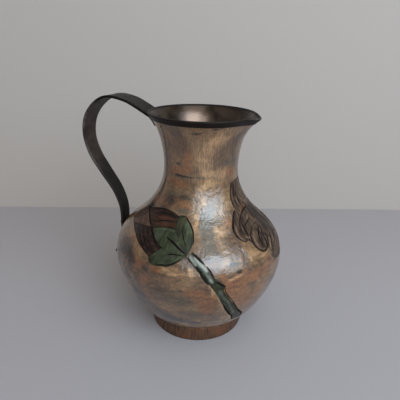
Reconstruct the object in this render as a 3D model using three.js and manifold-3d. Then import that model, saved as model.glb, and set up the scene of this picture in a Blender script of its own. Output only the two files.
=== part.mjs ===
// Engraved brass jug: a spun bowl and a flared neck joined at a seam, a folded rim with a pouring lip,
// a foot ring, a strap handle with its solder, and enamel fields let into the bowl's wall.
// Millimetres, +Z up. The lip points to +X and the handle to -X. The origin is the middle of the
// jug's bounding box, on the plane that the foot stands on.

import * as THREE from 'three';
import { mergeVertices } from 'three/addons/utils/BufferGeometryUtils.js';
import Module from 'manifold-3d';

const wasm = await Module();
wasm.setup();

// Body sizes
const seamHeight = 97.6;
const bowlWall = 1.6;
const neckWall = 1.4;
const startHeight = 7.8;
const floorHeight = 6.9;
const floorRadius = 22.4;
const fitGap = 0.3;
const weldReach = 0.0005;
const shortestEdge = 0.01;
const facetsRound = 48;
const bowlRings = 20;
const bowlInnerRings = 10;
const neckRings = 7;
const neckInnerRings = 5;
const searchSteps = 30;

// Rim and pouring lip
const bandHeight = 124.5;
const bandThickness = 0.65;
const bandProud = 0.3;
const neckRebate = bandThickness - bandProud + fitGap;
const lipReach = 2.4;
const lipDrop = 1.2;
const lipHalfAngle = 27;
const lipStartHeight = 112;
const rimHeight = 128;
const bandTopHeight = 127.5;
const bandUnderHeight = 127.15;
const bandRoundDrop = 0.1;
const bandRings = 3;
const neckEdgeHeight = 126.8;

// Foot ring
const footRadius = 27.9;
const footTopRadius = 26.9;
const footInnerRadius = 25.4;
const footSeatRadius = 24.6;
const footEdge = 0.5;
const footHeight = 8;
const footSeatDrop = 0.8;
const footCollarHeight = 6.6;
const footCollarRadius = 27;

// Strap handle
const strapThickness = 1.5;
const strapWidthTop = 15;
const strapWidthMiddle = 11.3;
const strapWidthEnd = 8.8;
const strapCorner = 0.45;
const strapSteps = 30;
const taperStart = 0.2;
const taperMiddle = 0.5;
const taperEnd = 0.85;
const upperSolderWidth = 13;
const lowerSolderWidth = 6;

// Enamel fields
const enamelDepth = 0.5;
const pocketDepth = enamelDepth + fitGap;
const enamelMargin = 0.3;
const pocketMargin = 0.05;
const pocketRise = 1;
const cutterReach = 8;
const sharpestCorner = 0.15;
const fieldStep = 3.6;
const meetingReach = 0.01;
const bloomAzimuth = 8;

const flat = (x, y) => new THREE.Vector2(x, y);
const degrees = THREE.MathUtils.degToRad;

// The jug's outside as one line of radius and height, from the foot to the rim
const outline = new THREE.CurvePath();
for (const corners of [
  [[25.5, startHeight], [36.8, 12.2], [48.4, 35.4], [48.4, 48]],
  [[48.4, 48], [48.4, 59], [43, 63.8], [35.9, 69.9]],
  [[35.9, 69.9], [28, 76.7], [20.6, 86.3], [20.6, 99.4]],
  [[20.6, 99.4], [20.6, 112], [25, 122.8], [29.4, bandTopHeight]],
]) {
  outline.add(new THREE.CubicBezierCurve(...corners.map(([radius, height]) => flat(radius, height))));
}

// Share of the outline's length at which it reaches a height
function shareAt(height) {
  let low = 0;
  let high = 1;
  for (let step = 0; step < searchSteps; step += 1) {
    const middle = (low + high) / 2;
    if (outline.getPoint(middle).y < height) {
      low = middle;
    } else {
      high = middle;
    }
  }
  return (low + high) / 2;
}

// Point of the outline, moved inwards square to the sheet by a depth
function wallPoint(share, depth) {
  const point = outline.getPoint(share);
  const along = outline.getTangent(share);
  return flat(point.x - along.y * depth, point.y + along.x * depth);
}

// Evenly spaced points of the wall between two heights
function wallStretch(fromHeight, toHeight, count, depth) {
  const from = shareAt(fromHeight);
  const to = shareAt(toHeight);
  const points = [];
  for (let index = 0; index <= count; index += 1) {
    points.push(wallPoint(from + ((to - from) * index) / count, depth));
  }
  return points;
}

// Indexed triangles with shared corners, without the slivers that a lathe leaves on its axis
function weld(geometry, reach = weldReach) {
  const bare = geometry.clone();
  bare.deleteAttribute('normal');
  bare.deleteAttribute('uv');
  const welded = mergeVertices(bare, reach);
  const corners = welded.index.array;
  const kept = [];
  for (let index = 0; index < corners.length; index += 3) {
    const [a, b, c] = corners.subarray(index, index + 3);
    if (a !== b && b !== c && c !== a) {
      kept.push(a, b, c);
    }
  }
  welded.setIndex(kept);
  return welded;
}

function toSolid(geometry, reach) {
  const welded = weld(geometry, reach);
  return new wasm.Manifold(new wasm.Mesh({
    numProp: 3,
    vertProperties: new Float32Array(welded.attributes.position.array),
    triVerts: new Uint32Array(welded.index.array),
  }));
}

// Geometry of a solid's largest body, which leaves out any sliver that a cut has made
function toGeometry(solid) {
  const [body] = solid.decompose().sort((one, other) => other.volume() - one.volume());
  const mesh = body.getMesh();
  const geometry = new THREE.BufferGeometry();
  geometry.setAttribute('position', new THREE.BufferAttribute(mesh.vertProperties, 3));
  geometry.setIndex(new THREE.BufferAttribute(mesh.triVerts, 1));
  return geometry;
}

// Body of revolution about Z from a profile of radius and height
function spin(profile) {
  return new THREE.LatheGeometry(profile, facetsRound).rotateX(Math.PI / 2);
}

// Ring between two depths of the wall
function wallRing(fromHeight, toHeight, count, outerDepth, innerDepth) {
  const outer = wallStretch(fromHeight, toHeight, count, outerDepth);
  const inner = wallStretch(fromHeight, toHeight, count, innerDepth).reverse();
  return spin([...outer, ...inner, outer[0]]);
}

// Pulls the flare outwards and down into the pouring lip
function pinchLip(geometry) {
  const place = geometry.attributes.position;
  for (let index = 0; index < place.count; index += 1) {
    const [x, y, z] = [place.getX(index), place.getY(index), place.getZ(index)];
    const turn = Math.abs(Math.atan2(y, x)) / degrees(lipHalfAngle);
    const rise = THREE.MathUtils.clamp((z - lipStartHeight) / (rimHeight - lipStartHeight), 0, 1);
    const pull = turn < 1 ? (Math.cos((turn * Math.PI) / 2) * rise) ** 2 : 0;
    const scale = 1 + (lipReach * pull) / Math.hypot(x, y);
    place.setXYZ(index, x * scale, y * scale, z - lipDrop * pull);
  }
  return geometry;
}

// Closed body from rings of equal size, with a flat cap at each end
function loft(rings) {
  const size = rings[0].length;
  const places = rings.flat().flatMap((point) => [point.x, point.y, point.z]);
  const corners = [];
  for (let ring = 0; ring < rings.length - 1; ring += 1) {
    for (let side = 0; side < size; side += 1) {
      const a = ring * size + side;
      const b = ring * size + ((side + 1) % size);
      corners.push(a, b + size, b, a, a + size, b + size);
    }
  }
  const last = (rings.length - 1) * size;
  for (let side = 1; side < size - 1; side += 1) {
    corners.push(0, side, side + 1);
    corners.push(last, last + side + 1, last + side);
  }
  const geometry = new THREE.BufferGeometry();
  geometry.setAttribute('position', new THREE.Float32BufferAttribute(places, 3));
  geometry.setIndex(corners);
  return geometry;
}

// Flat plate of a side view in radius and height, on the handle's side and centred on its plane
function handlePlate(points, width) {
  const shape = new THREE.Shape(points.map(([radius, height]) => flat(radius, height)));
  const plate = new THREE.ExtrudeGeometry(shape, { depth: width, bevelEnabled: false });
  return plate.translate(0, 0, -width / 2).rotateX(Math.PI / 2).rotateZ(Math.PI);
}

// Bowl, with a flat floor inside the foot ring
function bowlGeometry() {
  const top = seamHeight - fitGap / 2;
  const outside = wallStretch(startHeight, top, bowlRings, 0);
  const inside = wallStretch(startHeight, top, bowlInnerRings, bowlWall).reverse();
  return spin([
    flat(0, floorHeight),
    flat(floorRadius, floorHeight),
    ...outside,
    ...inside,
    flat(floorRadius, floorHeight + bowlWall),
    flat(0, floorHeight + bowlWall),
  ]);
}

// Neck, thinned outside at the top for the rim band
function neckGeometry() {
  const bottom = seamHeight + fitGap / 2;
  const top = bandHeight - fitGap;
  const outside = wallStretch(bottom, top, neckRings, 0);
  const rebate = wallStretch(top, neckEdgeHeight, bandRings - 1, neckRebate);
  const inside = wallStretch(bottom, neckEdgeHeight, neckInnerRings, neckWall).reverse();
  return pinchLip(spin([...outside, ...rebate, ...inside, outside[0]]));
}

// Rim band, folded over the neck's edge
function rimBandGeometry() {
  const outside = wallStretch(bandHeight, bandTopHeight, bandRings, -bandProud);
  const cavity = wallStretch(bandHeight, bandUnderHeight, bandRings - 1, bandThickness - bandProud).reverse();
  return pinchLip(spin([
    ...outside,
    wallPoint(shareAt(bandTopHeight), neckWall / 2),
    wallPoint(shareAt(bandTopHeight - bandRoundDrop), neckWall),
    wallPoint(shareAt(bandUnderHeight), neckWall),
    ...cavity,
    outside[0],
  ]));
}

// Foot ring, its top turned to the slope of the bowl
function footRingGeometry() {
  return spin([
    flat(footInnerRadius + footEdge, 0),
    flat(footRadius - footEdge, 0),
    flat(footRadius, footEdge),
    flat(footCollarRadius, footCollarHeight),
    flat(footTopRadius, footHeight),
    flat(footSeatRadius, footHeight - footSeatDrop),
    flat(footInnerRadius, footEdge),
    flat(footInnerRadius + footEdge, 0),
  ]);
}

// The strap's centre line as distance from the jug's axis and height, from the rim to its free end
const strapLine = new THREE.CatmullRomCurve3([
  [25.5, 122.9],
  [29.3, 124.7],
  [35.3, 127.8],
  [43.7, 131.4],
  [55.6, 132.5],
  [64.7, 127.4],
  [71, 118.6],
  [72.4, 108],
  [69.2, 97.5],
  [62.5, 87.4],
  [54.3, 75.7],
  [50.6, 65.6],
  [50.2, 54.5],
  [50.2, 46.8],
  [52.4, 40],
  [55.6, 33.8],
].map(([radius, height]) => new THREE.Vector3(-radius, 0, height)), false, 'centripetal');

function strapWidth(share) {
  const { lerp, smoothstep } = THREE.MathUtils;
  if (share < taperMiddle) {
    return lerp(strapWidthTop, strapWidthMiddle, smoothstep(share, taperStart, taperMiddle));
  }
  return lerp(strapWidthMiddle, strapWidthEnd, smoothstep(share, taperMiddle, taperEnd));
}

// Strap with rounded long edges, swept along its line while it tapers
function strapGeometry(thickness, extraWidth) {
  const rings = [];
  for (let step = 0; step <= strapSteps; step += 1) {
    const share = step / strapSteps;
    const centre = strapLine.getPointAt(share);
    const along = strapLine.getTangentAt(share);
    const out = new THREE.Vector3(along.z, 0, -along.x);
    const half = (strapWidth(share) + extraWidth) / 2;
    const lift = thickness / 2;
    const corners = [
      [half, lift - strapCorner],
      [half - strapCorner, lift],
      [strapCorner - half, lift],
      [-half, lift - strapCorner],
      [-half, strapCorner - lift],
      [strapCorner - half, -lift],
      [half - strapCorner, -lift],
      [half, strapCorner - lift],
    ];
    rings.push(corners.map(([across, up]) => centre.clone()
      .addScaledVector(out, up)
      .add(new THREE.Vector3(0, across, 0))));
  }
  return loft(rings);
}

// Space that the handle and its solder keep clear of: the bowl and neck with a gap all over
function bodyClearance() {
  const outside = wallStretch(startHeight, bandHeight - 2 * fitGap, bowlRings + neckRings, -fitGap);
  const overBand = wallStretch(bandHeight - fitGap, bandTopHeight, bandRings, -bandProud - fitGap);
  return toSolid(spin([flat(0, floorHeight), ...outside, ...overBand, flat(0, rimHeight)]));
}

// Solder under the strap's upper end and behind its lower end, each with a hollow free face
const upperSolderSide = [[24, 123.4], [32.5, 127], [31, 124.9], [28.9, 123.2], [27, 121.2], [25.6, 118.6],
  [23, 118.6]];
const lowerSolderSide = [[47, 48], [51.4, 48], [52.6, 56.6], [50.5, 56.2], [49.4, 54.9], [48.6, 53.6],
  [47, 53.4]];

// Edges of the enamel fields as turns about the jug in degrees and heights, each drawn once
const edge = (...points) => new THREE.SplineCurve(points.map(([azimuth, height]) => flat(azimuth, height)));

const bud = {
  top: edge([-139.5, 76.6], [-120.2, 79.2], [-104.8, 79.7], [-92.5, 78.4]),
  right: edge([-92.5, 78.4], [-92.5, 75.6], [-92.1, 73.2]),
  foldUpper: edge([-139.5, 76.6], [-124.1, 73.2], [-116.4, 70.7]),
  foldLower: edge([-116.4, 70.7], [-110.2, 69], [-102.3, 66.5], [-98, 65]),
  topFoot: edge([-116.4, 70.7], [-106.8, 72.1], [-97.2, 73], [-92.1, 73.2]),
  lightFoot: edge([-116.4, 70.7], [-128, 69.6], [-142, 67.7]),
  lightSide: edge([-142, 67.7], [-152, 68.4], [-155, 71], [-149, 74.6], [-139.5, 76.6]),
  darkSide: edge([-142, 67.7], [-129, 66.1], [-117.6, 63.6], [-104.4, 60.7]),
  darkFoot: edge([-104.4, 60.7], [-102, 62.3], [-98, 65]),
};

const leaf = {
  rightOuter: edge([-92.5, 78.4], [-87.8, 78.9], [-83.9, 77.9], [-78.7, 75], [-75, 72.2], [-74.2, 68.8],
    [-78.1, 64.1]),
  rightSplit: edge([-92.1, 73.2], [-86.5, 69.4], [-78.1, 64.1]),
  leftSplit: edge([-98, 65], [-88.5, 64.3], [-78.1, 64.1]),
  leftUnder: edge([-104.4, 60.7], [-102.1, 58.2], [-98, 57.8], [-91.4, 58.6], [-85.5, 60.3], [-78.1, 64.1]),
};

const stem = {
  head: edge([-77.4, 62.9], [-74.4, 65.6]),
  left: edge([-77.4, 62.9], [-73.5, 60.6], [-67.5, 55.6], [-62.8, 51.2], [-56.7, 43.3], [-50.9, 35.2],
    [-44.3, 26.9], [-40.9, 20.5]),
  rightUpper: edge([-74.4, 65.6], [-67.5, 62.1], [-61.2, 55.8], [-53, 50.2]),
  rightLower: edge([-53, 50.2], [-53.8, 46.7], [-46.1, 37.1], [-40, 29.4], [-35.3, 26.1]),
  stub: edge([-35.3, 26.1], [-32.3, 19.8]),
  foot: edge([-32.3, 19.8], [-40.9, 20.5]),
};

const bloom = {
  crownSide: edge([-20.2, 93.4], [-23.8, 90.9], [-24.9, 86.5], [-24.7, 82.9], [-25, 80.1]),
  crownTop: edge([-20.2, 93.4], [bloomAzimuth, 94.4], [2 * bloomAzimuth + 20.2, 93.4]),
  crownFoot: edge([-25, 80.1], [-15, 80.6], [-4, 81.4]),
  crownMiddle: edge([-4, 81.4], [bloomAzimuth, 82], [2 * bloomAzimuth + 4, 81.4]),
  outerSide: edge([-25, 80.1], [-31.8, 77.2], [-36.2, 74.4], [-37.7, 71.4], [-36.3, 68.9], [-31.3, 66.8]),
  outerFoot: edge([-31.3, 66.8], [-28.4, 67.2]),
  fold: edge([-28.4, 67.2], [-29.9, 69.1], [-30, 71.1], [-27.7, 74], [-19.9, 77.1], [-4, 81.4]),
  innerFoot: edge([-28.4, 67.2], [-25.3, 64.8]),
  innerSide: edge([-7.9, 71.6], [-3.4, 76], [-4, 81.4]),
  loopLeft: edge([-25.3, 64.8], [-23.9, 67.7], [-18.4, 70], [-7.9, 71.6]),
  loopRight: edge([-7.9, 71.6], [-6.8, 68.4], [-10.9, 65.2], [-13.2, 62.4]),
  loopFoot: edge([-13.2, 62.4], [-15.7, 60.9], [-20.1, 60.9], [-23.1, 62.2], [-25.3, 64.8]),
  heartSide: edge([-13.2, 62.4], [-13.6, 57.6], [-8.7, 53.1]),
  heartFoot: edge([-8.7, 53.1], [bloomAzimuth, 51.2], [2 * bloomAzimuth + 8.7, 53.1]),
};

// The same edge on the other side of the open flower's middle line
const across = (curve) => edge(...curve.points.map((point) => [2 * bloomAzimuth - point.x, point.y]));

// Point on the jug's outside, with the direction square to the sheet
function surfaceAt(azimuth, height) {
  const share = shareAt(height);
  const point = outline.getPoint(share);
  const along = outline.getTangent(share);
  const turn = degrees(azimuth);
  const radial = new THREE.Vector3(Math.cos(turn), Math.sin(turn), 0);
  return {
    place: radial.clone().multiplyScalar(point.x).setZ(point.y),
    out: radial.clone().multiplyScalar(along.y).setZ(-along.x),
  };
}

// Number of steps that an edge of a field is drawn with, from its length on the jug
function stepsAlong(curve) {
  let length = 0;
  for (let index = 1; index < curve.points.length; index += 1) {
    const [from, to] = [curve.points[index - 1], curve.points[index]];
    length += surfaceAt(from.x, from.y).place.distanceTo(surfaceAt(to.x, to.y).place);
  }
  return Math.max(1, Math.round(length / fieldStep));
}

// Joins edges end to end into one closed loop of points, turning an edge round where it has to be
function loopOf(edges) {
  const loop = [];
  for (const [index, curve] of edges.entries()) {
    let points = curve.getSpacedPoints(stepsAlong(curve));
    const next = edges[(index + 1) % edges.length].points;
    const ends = [next[0], next[next.length - 1]];
    const meets = (point) => ends.some((other) => other.distanceTo(point) < meetingReach);
    const start = loop.length ? loop[loop.length - 1] : null;
    const turned = start ? start.distanceTo(points[0]) > meetingReach : !meets(points[points.length - 1]);
    if (turned) {
      points = points.reverse();
    }
    loop.push(...(start ? points.slice(1) : points));
  }
  loop.pop();
  return THREE.ShapeUtils.isClockWise(loop) ? loop.reverse() : loop;
}

// Block that passes through the wall, square to it, with a field's outline grown by a margin
function fieldBlock(edges, margin) {
  const loop = loopOf(edges);
  const surface = loop.map((point) => surfaceAt(point.x, point.y));
  const grown = surface.map(({ place, out }, index) => {
    const before = surface[(index + loop.length - 1) % loop.length].place;
    const after = surface[(index + 1) % loop.length].place;
    const leftOf = place.clone().sub(before).cross(out).normalize();
    const rightOf = after.clone().sub(place).cross(out).normalize();
    const corner = leftOf.clone().add(rightOf).normalize();
    return place.clone().addScaledVector(corner, margin / Math.max(corner.dot(leftOf), sharpestCorner));
  });
  const outer = grown.map((place, index) => place.clone().addScaledVector(surface[index].out, cutterReach));
  const inner = grown.map((place, index) => place.clone().addScaledVector(surface[index].out, -cutterReach));
  const size = loop.length;
  const corners = [];
  for (let side = 0; side < size; side += 1) {
    const next = (side + 1) % size;
    corners.push(side, side + size, next, next, side + size, next + size);
  }
  for (const [a, b, c] of THREE.ShapeUtils.triangulateShape(loop, [])) {
    corners.push(a, b, c, a + size, c + size, b + size);
  }
  const geometry = new THREE.BufferGeometry();
  const places = [...outer, ...inner].flatMap((point) => [point.x, point.y, point.z]);
  geometry.setAttribute('position', new THREE.Float32BufferAttribute(places, 3));
  geometry.setIndex(corners);
  return toSolid(geometry);
}

const fields = {
  bud_petal_top: [bud.top, bud.right, bud.topFoot, bud.foldUpper],
  bud_petal_light: [bud.foldUpper, bud.lightFoot, bud.lightSide],
  bud_petal_dark: [bud.lightFoot, bud.darkSide, bud.darkFoot, bud.foldLower],
  leaf_right: [bud.right, leaf.rightOuter, leaf.rightSplit],
  leaf_middle: [bud.topFoot, leaf.rightSplit, leaf.leftSplit, bud.foldLower],
  leaf_left: [bud.darkFoot, leaf.leftSplit, leaf.leftUnder],
  bud_stem: [stem.head, stem.rightUpper, stem.rightLower, stem.stub, stem.foot, stem.left],
  bloom_crown: [bloom.crownSide, bloom.crownFoot, bloom.crownMiddle, across(bloom.crownFoot),
    across(bloom.crownSide), bloom.crownTop],
  bloom_heart: [bloom.crownMiddle, across(bloom.innerSide), across(bloom.loopRight), across(bloom.heartSide),
    bloom.heartFoot, bloom.heartSide, bloom.loopRight, bloom.innerSide],
};

const bloomPetals = {
  bloom_petal_outer: [bloom.crownFoot, bloom.outerSide, bloom.outerFoot, bloom.fold],
  bloom_petal_inner: [bloom.fold, bloom.innerFoot, bloom.loopLeft, bloom.innerSide],
  bloom_petal_loop: [bloom.loopLeft, bloom.loopRight, bloom.loopFoot],
};
for (const [name, edges] of Object.entries(bloomPetals)) {
  fields[`${name}_near`] = edges;
  fields[`${name}_far`] = edges.map(across);
}

// Materials
function metal(color, roughness, metalness) {
  return new THREE.MeshStandardMaterial({ color, roughness, metalness });
}

const lacqueredBrass = metal('#8d6f4a', 0.35, 0.7);
const darkMetal = metal('#332c26', 0.4, 0.8);
const footBronze = metal('#5b3a24', 0.45, 0.8);
const solder = metal('#3b3631', 0.6, 0.6);
const fieldMaterials = {
  leaf: metal('#3d4f37', 0.35, 0.2),
  bud_stem: metal('#36462f', 0.35, 0.2),
  bud_petal_top: metal('#4a2f27', 0.35, 0.3),
  bud_petal_light: metal('#5c4136', 0.35, 0.3),
  bud_petal_dark: metal('#33241f', 0.35, 0.3),
  bloom: metal('#4a3c33', 0.35, 0.4),
};

function materialOf(name) {
  const key = Object.keys(fieldMaterials).find((start) => name.startsWith(start));
  return fieldMaterials[key].clone();
}

const jug = new THREE.Group();

function addPiece(name, geometry, material) {
  const shape = toGeometry(toSolid(geometry, shortestEdge));
  shape.computeVertexNormals();
  const mesh = new THREE.Mesh(shape, material);
  mesh.name = name;
  jug.add(mesh);
}

// Pockets and their enamel share the bowl's own rings of facets, so each field lies flush
const fieldTop = seamHeight - fitGap / 2;
const pocketLayer = toSolid(wallRing(startHeight, fieldTop, bowlRings, -pocketRise, pocketDepth));
const enamelLayer = toSolid(wallRing(startHeight, fieldTop, bowlRings, 0, enamelDepth));

let bowl = toSolid(bowlGeometry());
for (const [name, edges] of Object.entries(fields)) {
  bowl = bowl.subtract(pocketLayer.intersect(fieldBlock(edges, pocketMargin)));
  addPiece(name, toGeometry(enamelLayer.intersect(fieldBlock(edges, -enamelMargin))), materialOf(name));
}

const clearance = bodyClearance();
const strapClearance = toSolid(strapGeometry(strapThickness + 2 * fitGap, 2 * fitGap));
const strapSolid = toSolid(strapGeometry(strapThickness, 0)).subtract(clearance);

function solderPiece(side, width) {
  return toGeometry(toSolid(handlePlate(side, width)).subtract(clearance).subtract(strapClearance));
}

addPiece('bowl', toGeometry(bowl), lacqueredBrass);
addPiece('neck', neckGeometry(), lacqueredBrass.clone());
addPiece('rim_band', rimBandGeometry(), darkMetal);
addPiece('foot_ring', footRingGeometry(), footBronze);
addPiece('strap_handle', toGeometry(strapSolid), darkMetal.clone());
addPiece('upper_solder', solderPiece(upperSolderSide, upperSolderWidth), solder);
addPiece('lower_solder', solderPiece(lowerSolderSide, lowerSolderWidth), solder.clone());

// The origin: the middle of the box in plan
const box = new THREE.Box3().setFromObject(jug);
jug.position.x = -(box.min.x + box.max.x) / 2;

const part = new THREE.Group();
part.add(jug);

export default part;
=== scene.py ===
# Engraved brass jug: the looks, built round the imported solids. +Z up, lip to +X, handle to -X.
# Settings give millimetres and degrees, except where they say metres.
import math

import bpy
import numpy
from mathutils import Matrix, Vector, geometry, noise


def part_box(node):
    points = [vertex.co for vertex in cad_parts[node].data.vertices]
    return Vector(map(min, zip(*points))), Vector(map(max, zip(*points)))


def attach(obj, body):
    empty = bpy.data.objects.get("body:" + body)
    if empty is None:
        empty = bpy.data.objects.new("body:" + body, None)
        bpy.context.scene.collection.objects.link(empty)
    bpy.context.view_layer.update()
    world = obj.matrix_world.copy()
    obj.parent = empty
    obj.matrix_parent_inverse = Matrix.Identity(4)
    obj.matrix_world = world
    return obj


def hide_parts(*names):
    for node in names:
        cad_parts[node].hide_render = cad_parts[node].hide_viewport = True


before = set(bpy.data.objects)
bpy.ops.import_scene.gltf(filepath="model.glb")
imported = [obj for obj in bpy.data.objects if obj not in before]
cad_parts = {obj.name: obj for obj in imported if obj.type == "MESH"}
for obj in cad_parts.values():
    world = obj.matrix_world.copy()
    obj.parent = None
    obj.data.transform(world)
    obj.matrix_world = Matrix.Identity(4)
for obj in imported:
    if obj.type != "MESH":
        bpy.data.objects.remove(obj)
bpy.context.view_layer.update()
bpy.ops.object.select_all(action="DESELECT")
print("stage 1: frame loaded")

mm = 0.001
weldReach = 0.001 * mm
footLow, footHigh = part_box("foot_ring")
axisX = (footLow.x + footHigh.x) / 2


def heading(turn, rise=0.0):
    # unit vector at a turn about the jug's axis and a rise above the floor
    turn, rise = math.radians(turn), math.radians(rise)
    level = math.cos(rise)
    return Vector((math.cos(turn) * level, math.sin(turn) * level, math.sin(rise)))


# Camera at the photograph's viewpoint, its place in metres from the jug's axis
viewpoint = {
    "place": (0.07288, -0.20025, 0.1617), "towards": 110, "down": 21.6, "roll": 1.63,
    "lens": 35.68, "clipStart": 0.01,
}


def makeCamera():
    ahead = heading(viewpoint["towards"], -viewpoint["down"])
    right = heading(viewpoint["towards"] - 90)
    above = right.cross(ahead)
    tilt = math.radians(viewpoint["roll"])
    rightTilted = right * math.cos(tilt) + above * math.sin(tilt)
    aboveTilted = above * math.cos(tilt) - right * math.sin(tilt)
    matrix = Matrix((rightTilted, aboveTilted, -ahead)).transposed().to_4x4()
    matrix.translation = Vector(viewpoint["place"]) + Vector((axisX, 0, 0))
    lens = bpy.data.cameras.new("camera")
    lens.lens = viewpoint["lens"]
    lens.clip_start = viewpoint["clipStart"]
    camera = bpy.data.objects.new("camera", lens)
    camera.matrix_world = matrix
    bpy.context.scene.collection.objects.link(camera)
    bpy.context.scene.camera = camera


makeCamera()

# The jug's outside line, radius and height, as four curves from the foot to the rim
outline = {
    "curves": [
        [(25.5, 7.8), (36.8, 12.2), (48.4, 35.4), (48.4, 48)],
        [(48.4, 48), (48.4, 59), (43, 63.8), (35.9, 69.9)],
        [(35.9, 69.9), (28, 76.7), (20.6, 86.3), (20.6, 99.4)],
        [(20.6, 99.4), (20.6, 112), (25, 122.8), (29.4, 127.5)],
    ],
    "samples": 160, "reach": 0.4, "dentDepth": 0.16, "dentSize": 15,
}


def sampleOutline():
    points = []
    for a, b, c, d in outline["curves"]:
        for step in range(outline["samples"]):
            t = step / outline["samples"]
            u = 1 - t
            points.append([u ** 3 * p + 3 * u * u * t * q + 3 * u * t * t * r + t ** 3 * s
                           for p, q, r, s in zip(a, b, c, d)])
    points.append(list(outline["curves"][-1][-1]))
    points = numpy.array(points)
    steps = numpy.linalg.norm(numpy.diff(points, axis=0), axis=1)
    return points[:, 0], points[:, 1], numpy.concatenate([[0], numpy.cumsum(steps)])


outlineRadii, outlineHeights, outlineLengths = sampleOutline()


def lengthAt(height):
    return float(numpy.interp(height, outlineHeights, outlineLengths))


def radiusAt(length):
    return float(numpy.interp(length, outlineLengths, outlineRadii))


def heightAt(length):
    return float(numpy.interp(length, outlineLengths, outlineHeights))


def wallPoint(length, lift=0.0):
    # radius and height of the wall at a length along the outline, lifted square to the sheet
    low = max(length - outline["reach"], 0)
    high = min(length + outline["reach"], outlineLengths[-1])
    rise = heightAt(high) - heightAt(low)
    run = radiusAt(high) - radiusAt(low)
    size = math.hypot(rise, run)
    return radiusAt(length) + lift * rise / size, heightAt(length) - lift * run / size


def wallStretch(fromHeight, toHeight, count, lift=0.0):
    start, end = lengthAt(fromHeight), lengthAt(toHeight)
    return [wallPoint(start + (end - start) * index / count, lift) for index in range(count + 1)]


def dent(x, y, z):
    # how far the hand-beaten wall stands off its true shape
    size = outline["dentSize"]
    return outline["dentDepth"] * noise.noise(Vector((x / size, y / size, z / size)))


def jugPlace(azimuth, length, lift=0.0):
    radius, height = wallPoint(length, lift)
    turn = math.radians(azimuth)
    radius += dent(radius * math.cos(turn), radius * math.sin(turn), height)
    x, y = radius * math.cos(turn) * mm, radius * math.sin(turn) * mm
    return Vector((axisX + x, y, height * mm))


def only(piece):
    bpy.ops.object.select_all(action="DESELECT")
    piece.select_set(True)
    bpy.context.view_layer.objects.active = piece


def faceOutward(piece):
    only(piece)
    bpy.ops.object.mode_set(mode="EDIT")
    bpy.ops.mesh.select_all(action="SELECT")
    bpy.ops.mesh.normals_make_consistent(inside=False)
    bpy.ops.object.mode_set(mode="OBJECT")


def applyModifier(piece, kind, **settings):
    only(piece)
    modifier = piece.modifiers.new(kind.lower(), kind)
    for key, value in settings.items():
        setattr(modifier, key, value)
    bpy.ops.object.modifier_apply(modifier=modifier.name)


def smoothByAngle(piece, angle):
    only(piece)
    bpy.ops.object.shade_smooth_by_angle(angle=math.radians(angle))


def extrudeBy(x, y, z):
    step = (x * mm, y * mm, z * mm)
    bpy.ops.mesh.extrude_region_move(TRANSFORM_OT_translate={"value": step})


def drawProfile(name, points, y=0):
    # a side view drawn point by point from a single corner, left in edit mode
    start = (axisX + points[0][0] * mm, y * mm, points[0][1] * mm)
    bpy.ops.mesh.primitive_plane_add(size=mm, location=start)
    piece = bpy.context.object
    piece.name = name
    bpy.ops.object.mode_set(mode="EDIT")
    bpy.ops.mesh.merge(type="CENTER")
    for before, after in zip(points, points[1:]):
        extrudeBy(after[0] - before[0], 0, after[1] - before[1])
    return piece


def settleOrigin():
    bpy.ops.object.mode_set(mode="OBJECT")
    bpy.ops.object.transform_apply(location=True, rotation=True, scale=True)


def spinProfile(name, points, columns):
    piece = drawProfile(name, points)
    settleOrigin()
    bpy.ops.object.mode_set(mode="EDIT")
    bpy.ops.mesh.select_all(action="SELECT")
    bpy.ops.mesh.spin(steps=columns, angle=2 * math.pi, center=(axisX, 0, 0), axis=(0, 0, 1))
    bpy.ops.mesh.select_all(action="SELECT")
    bpy.ops.mesh.remove_doubles(threshold=weldReach)
    bpy.ops.object.mode_set(mode="OBJECT")
    faceOutward(piece)
    return piece


def moveVertices(piece, move):
    for vertex in piece.data.vertices:
        place = ((vertex.co.x - axisX) / mm, vertex.co.y / mm, vertex.co.z / mm)
        x, y, z = move(*place)
        vertex.co = (axisX + x * mm, y * mm, z * mm)


def beatWall(x, y, z):
    radius = math.hypot(x, y)
    # the middle of the floor stays flat
    if radius < 1:
        return x, y, z
    scale = 1 + dent(x, y, z) / radius
    return x * scale, y * scale, z


lip = {"reach": 2.4, "drop": 1.2, "halfAngle": 27, "start": 112, "top": 128}


def pinchLip(x, y, z):
    turn = abs(math.degrees(math.atan2(y, x))) / lip["halfAngle"]
    rise = min(max((z - lip["start"]) / (lip["top"] - lip["start"]), 0), 1)
    pull = (math.cos(turn * math.pi / 2) * rise) ** 2 if turn < 1 else 0
    scale = 1 + lip["reach"] * pull / math.hypot(x, y)
    return x * scale, y * scale, z - lip["drop"] * pull


def wallDepth(piece):
    # depth of every face's middle below the jug's outside line
    centres = numpy.empty(len(piece.data.polygons) * 3)
    piece.data.polygons.foreach_get("center", centres)
    centres = centres.reshape(-1, 3) / mm
    radii = numpy.hypot(centres[:, 0] - axisX / mm, centres[:, 1])
    slope = numpy.gradient(outlineHeights, outlineLengths)
    square = numpy.interp(centres[:, 2], outlineHeights, slope)
    return (numpy.interp(centres[:, 2], outlineHeights, outlineRadii) - radii) * square


# Bowl
bowl = {
    "seam": 97.6, "seamGroove": 0.1, "wall": 1.6, "start": 7.8, "innerRise": 1.5, "floor": 6.9,
    "floorRadius": 22.4, "columns": 300, "rings": 126, "innerRings": 44, "smooth": 30,
}


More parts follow.
